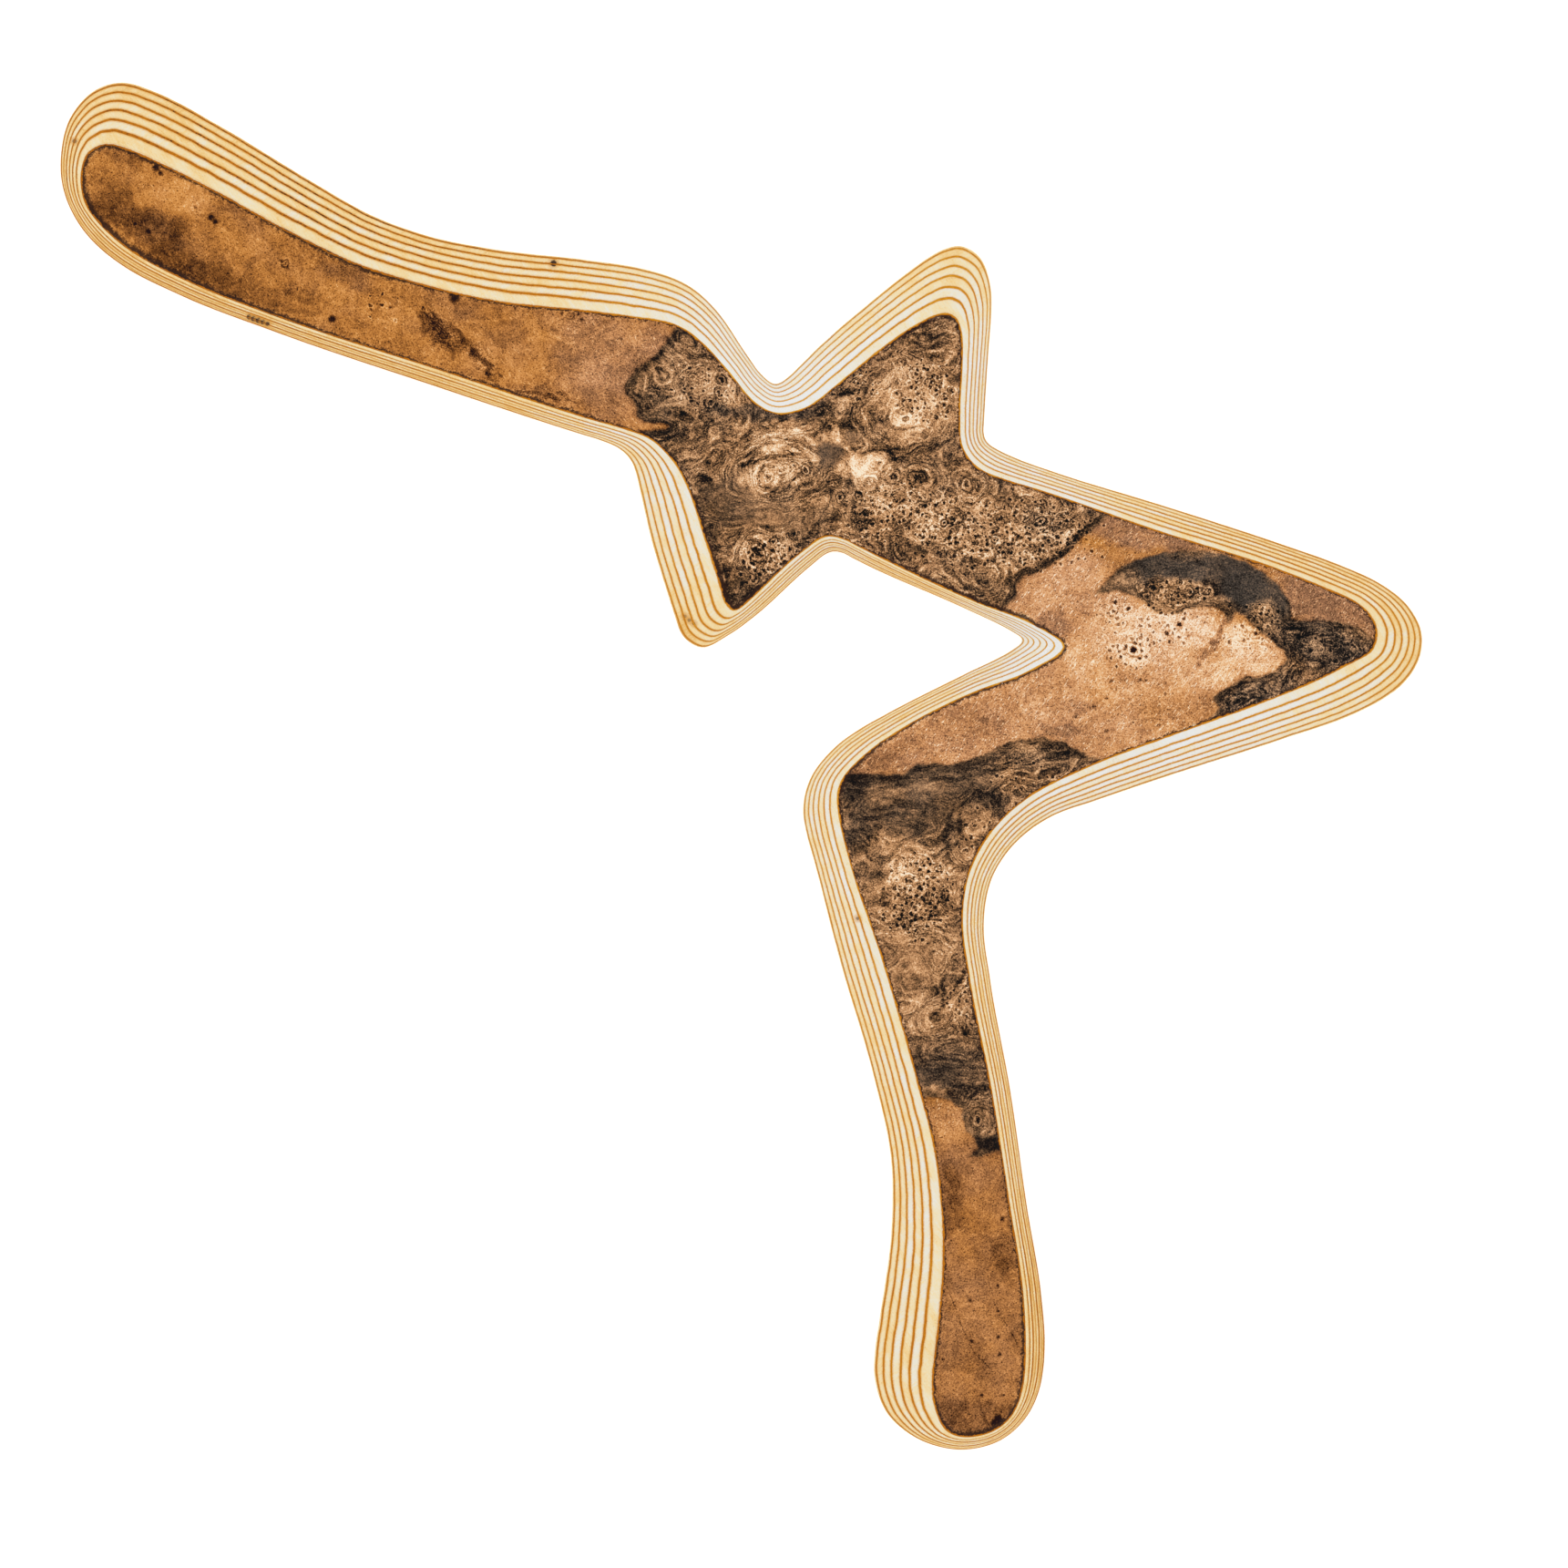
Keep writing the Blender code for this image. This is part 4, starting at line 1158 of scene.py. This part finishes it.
def film_material(name, seed, thickness):
    """Phenolic glue line, browned by the sander and broken up by specks."""
    wood = Wood(name)
    shift = (seed * 7.9, seed * 3.1, 0.0)
    specks = wood.specks(0.7, 3.0, 0.7, shift)
    patches = wood.specks(7.0, 2.0, 0.5, shift)
    dark = wood.vary(wood.vary(wood.stored("browned"), patches, 0.6), specks, 1.2)
    colour = wood.ramp(wood.math("SUBTRACT", dark, 0.10), GLUE)
    if seed % 2:                 # every second line fades where the lines lie close together
        across = wood.math("ADD", wood.stored("from_low"), wood.stored("from_high"))
        steep = wood.remap(across, 1.3 * thickness, 2.4 * thickness, 0.75, 0.0)
        colour = wood.mix(steep, colour, paint(232, 196, 132))
    if seed == 0:                # only the part right beside the burl is dark
        outward = wood.vary(wood.stored("from_high"), specks, 0.5)
        colour = wood.mix(wood.remap(outward, 0.04, 0.26, 0.0, 0.95), colour, paint(242, 222, 180))
    return wood.finish(colour, wood.remap(specks, 0.3, 0.7, 0.42, 0.60), 0.12, specks, 0.00003)


def eye_effect(wood, fine):
    """Darkening and lightening round the eyes: dark middle, pale ring, dark ring, halo."""
    eye = wood.vary(wood.stored("eye"), fine, 0.5)
    rings = wood.ramp(wood.math("DIVIDE", eye, 3.0), EYE_TONES)
    return wood.times(wood.math("SUBTRACT", rings, 0.5), wood.stored("ringed"))


def pit_effect(wood, fine):
    """Tiny dark pits with a pale lip, as thick as the pits field says."""
    pits = wood.stored("pits")
    wobble = wood.node("TexNoise", {"Vector": wood.place, "Scale": 0.7, "Detail": 2.0})
    values = {0: wobble.outputs[1], 1: (1.1, 1.1, 0.0), 2: wood.place}
    bent = wood.node("VectorMath", values, operation="MULTIPLY_ADD").outputs[0]
    cells = wood.node("TexVoronoi", {"Vector": bent, "Scale": 0.62}, voronoi_dimensions="2D")
    draws = wood.node("SeparateColor", {0: cells.outputs["Color"]}).outputs
    chosen = wood.math("SUBTRACT", wood.times(pits, 1.15), draws[0])
    radius = wood.math("MULTIPLY_ADD", draws[1], 0.18, 0.09)
    radius = wood.math("MULTIPLY_ADD", pits, 0.09, radius)
    gap = wood.vary(wood.math("DIVIDE", cells.outputs["Distance"], radius), fine, 0.6)
    shape = wood.ramp(wood.math("DIVIDE", gap, 3.0), PIT_TONES)
    return wood.times(wood.math("SUBTRACT", shape, 0.5), wood.remap(chosen, 0.0, 0.12))


def figure_noise(wood):
    """Broad, middling and narrow lines of the figure, around zero."""
    values = {0: wood.times(wood.part(0), 0.12), 1: wood.times(wood.part(1), 0.12)}
    joined = wood.node("CombineXYZ", values | {2: wood.stored("lines")}).outputs[0]
    figure = wood.math("SUBTRACT", wood.noise(joined, 0.55, 1.0, 0.5, 0.2), 0.5)
    figure = wood.vary(wood.times(figure, 1.7), wood.noise(joined, 1.55, 1.0, 0.5, 0.3), 2.9)
    return wood.vary(figure, wood.noise(joined, 3.4, 3.0, 0.70, 0.3), 3.0)


def figure_tone(wood, fine, coarse, figure):
    """Tone of the wood from 0 to 1: base tone, figure lines, eyes, pits and grain."""
    contrast = wood.stored("contrast")
    tone = wood.math("MULTIPLY_ADD", figure, contrast, wood.stored("tone"))
    amount = wood.math("MULTIPLY_ADD", contrast, 2.3, 0.25)
    amount = wood.math("MULTIPLY_ADD", wood.stored("hue"), 0.13, amount)
    tone = wood.vary(tone, fine, amount)
    tone = wood.vary(tone, coarse, wood.math("MULTIPLY_ADD", contrast, 1.3, 0.14))
    amount = wood.math("MULTIPLY_ADD", contrast, 0.8, 0.50)
    tone = wood.math("MULTIPLY_ADD", eye_effect(wood, fine), amount, tone)
    tone = wood.math("MULTIPLY_ADD", pit_effect(wood, fine), 0.62, tone)
    tone = wood.math("MULTIPLY_ADD", wood.stored("pin"), -0.42, tone)
    crack = wood.remap(wood.vary(wood.stored("crack"), fine, 0.5), 0.05, 0.30, 0.16, 0.0)
    return wood.math("SUBTRACT", tone, crack)


def sapwood_marks(wood, fine):
    """Light flecks and fine dark pores of the smooth sapwood, around zero."""
    rising = wood.grain((1.2, 0.25, 0.25), 54.0, (0, 0, 0), 1.0, 0.5)
    falling = wood.grain((1.2, 0.25, 0.25), -58.0, (0, 0, 0), 1.0, 0.5)
    x = wood.part(0)
    right = wood.remap(x, -10.0, 30.0)
    slanted = wood.math("ADD", wood.times(wood.math("SUBTRACT", rising, falling), right), falling)
    shown = wood.remap(wood.part(1), -100.0, -85.0, 0.35, 1.0)
    shown = wood.times(shown, wood.remap(x, -60.0, 30.0, 0.50, 1.0))
    flecks = wood.times(wood.remap(slanted, 0.59, 0.73, 0.0, 0.28), shown)
    return wood.math("ADD", flecks, wood.remap(fine, 0.24, 0.40, -0.20, 0.0))


def burl_colour(wood, tone, marks):
    """Sapwood from orange to pink, heartwood from brown to charcoal."""
    hue = wood.stored("hue")
    sap_tone = wood.math("ADD", tone, marks)
    sap = wood.mix(hue, wood.ramp(sap_tone, ORANGE_SAP), wood.ramp(sap_tone, PINK_SAP))
    dark = wood.mix(hue, wood.ramp(tone, BROWN_HEART), wood.ramp(tone, CHARCOAL_HEART))
    return wood.mix(wood.stored("heart"), sap, dark)


def burl_material():
    """Burl face veneer: pink to orange sapwood and dark figured heartwood, satin lacquer."""
    wood = Wood("burl_veneer_wood")
    fine = wood.specks(0.36, 1.0, 0.6)
    coarse = wood.specks(1.0, 2.0, 0.65)
    figure = figure_noise(wood)
    tone = figure_tone(wood, fine, coarse, figure)
    colour = burl_colour(wood, tone, sapwood_marks(wood, fine))
    rough = wood.vary(wood.times(wood.math("SUBTRACT", coarse, 0.5), 1.8), fine, 1.2)
    rim = wood.stored("rim")
    burnt = wood.math("DIVIDE", wood.math("ADD", rim, rough), wood.stored("scorch"))
    burnt = wood.remap(wood.math("SUBTRACT", 1.0, burnt), 0.0, 0.6, 0.0, 0.90)
    colour = wood.mix(burnt, colour, paint(48, 30, 9))
    fringe = wood.remap(wood.math("MULTIPLY_ADD", rough, 0.30, rim), 0.04, 0.28, 0.90, 0.0)
    colour = wood.mix(fringe, colour, paint(200, 118, 16))
    height = wood.math("MULTIPLY_ADD", figure, 0.20, fine)
    return wood.finish(colour, wood.remap(fine, 0.3, 0.7, 0.38, 0.54), 0.09, height, 0.00005)


def floor_material():
    wood = Wood("floor_paper")
    tooth = wood.specks(1.5, 3.0, 0.6)
    colour = wood.mix(tooth, (0.90, 0.90, 0.895, 1.0), (0.93, 0.93, 0.925, 1.0))
    glow = {"Emission Color": (1.0, 1.0, 1.0, 1.0), "Emission Strength": FLOOR_GLOW}
    wood.feed(wood.shader.inputs, glow)
    return wood.finish(colour, wood.remap(tooth, 0.2, 0.8, 0.75, 0.9), 0.1, tooth, 0.00002)


# Scene


def add_plies(bevel):
    """Eight plies, from ply 1 under the burl to ply 8, and the glue films between them."""
    for number in range(1, PLY_COUNT + 1):
        bends = (0.5,) if number < PLY_COUNT - 1 else (0.25, 0.5, 0.75)
        piece, _ = sheet_piece(f"birch_ply_{number}", bevel, bends, PLY_WARMTH[number - 1])
        finish_piece(piece, birch_material(number))
    for number in range(PLY_COUNT):
        node = f"glue_film_{number}" if number else "burl_glue_film"
        piece, thickness = sheet_piece(node, bevel, ())
        finish_piece(piece, film_material(f"{node}_line", number, thickness))


def add_object(name, data, place=(0, 0, 0)):
    made = bpy.data.objects.new(name, data)
    made.location = place
    bpy.context.scene.collection.objects.link(made)
    return made


def add_floor():
    mesh = bpy.data.meshes.new("floor")
    corners = [(FLOOR_HALF * x, FLOOR_HALF * y, 0) for x, y in ((-1, -1), (1, -1), (1, 1), (-1, 1))]
    mesh.from_pydata(corners, [], [(0, 1, 2, 3)])
    mesh.materials.append(floor_material())
    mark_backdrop(add_object("floor", mesh, (0, 0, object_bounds()[0].z - FLOOR_DROP)))


def add_lights():
    """Large soft lights turned to the middle of the boomerang."""
    for name, azimuth, elevation, power in LIGHTS:
        data = bpy.data.lights.new(name, "AREA")
        data.shape = "DISK"
        data.size = LIGHT_SIZE
        data.energy = power
        around = math.radians(azimuth)
        level = math.cos(math.radians(elevation)) * LIGHT_DISTANCE
        up = math.sin(math.radians(elevation)) * LIGHT_DISTANCE
        lamp = add_object(name, data, (level * math.cos(around), level * math.sin(around), up))
        lamp.rotation_euler = (-lamp.location).to_track_quat("-Z", "Y").to_euler()


def add_world():
    """Pale surroundings that are dimmer overhead, so the lacquer stays clear from above."""
    world = bpy.data.worlds.new("studio")
    world.use_nodes = True
    tree = world.node_tree
    place = tree.nodes.new("ShaderNodeTexCoord")
    split = tree.nodes.new("ShaderNodeSeparateXYZ")
    ramp = tree.nodes.new("ShaderNodeValToRGB")
    tree.links.new(place.outputs["Generated"], split.inputs[0])
    tree.links.new(split.outputs[2], ramp.inputs[0])
    tree.links.new(ramp.outputs[0], tree.nodes["Background"].inputs[0])
    set_stops(ramp.color_ramp, [(at, (glow, glow, glow * 1.005, 1.0)) for at, glow in SKY])
    bpy.context.scene.world = world


def add_camera():
    data = bpy.data.cameras.new("camera")
    data.lens = CAMERA_LENS
    data.sensor_width = CAMERA_SENSOR
    data.clip_start = 0.01
    bpy.context.scene.camera = add_object("camera", data, CAMERA_PLACE)


def main():
    bpy.context.scene.view_settings.view_transform = "Standard"
    heights, rings = stack_surface()
    add_plies(Bevel(heights, rings, RIM_STEP))
    finish_piece(burl_piece(heights, rings), burl_material())
    add_floor()
    add_lights()
    add_world()
    add_camera()


main()
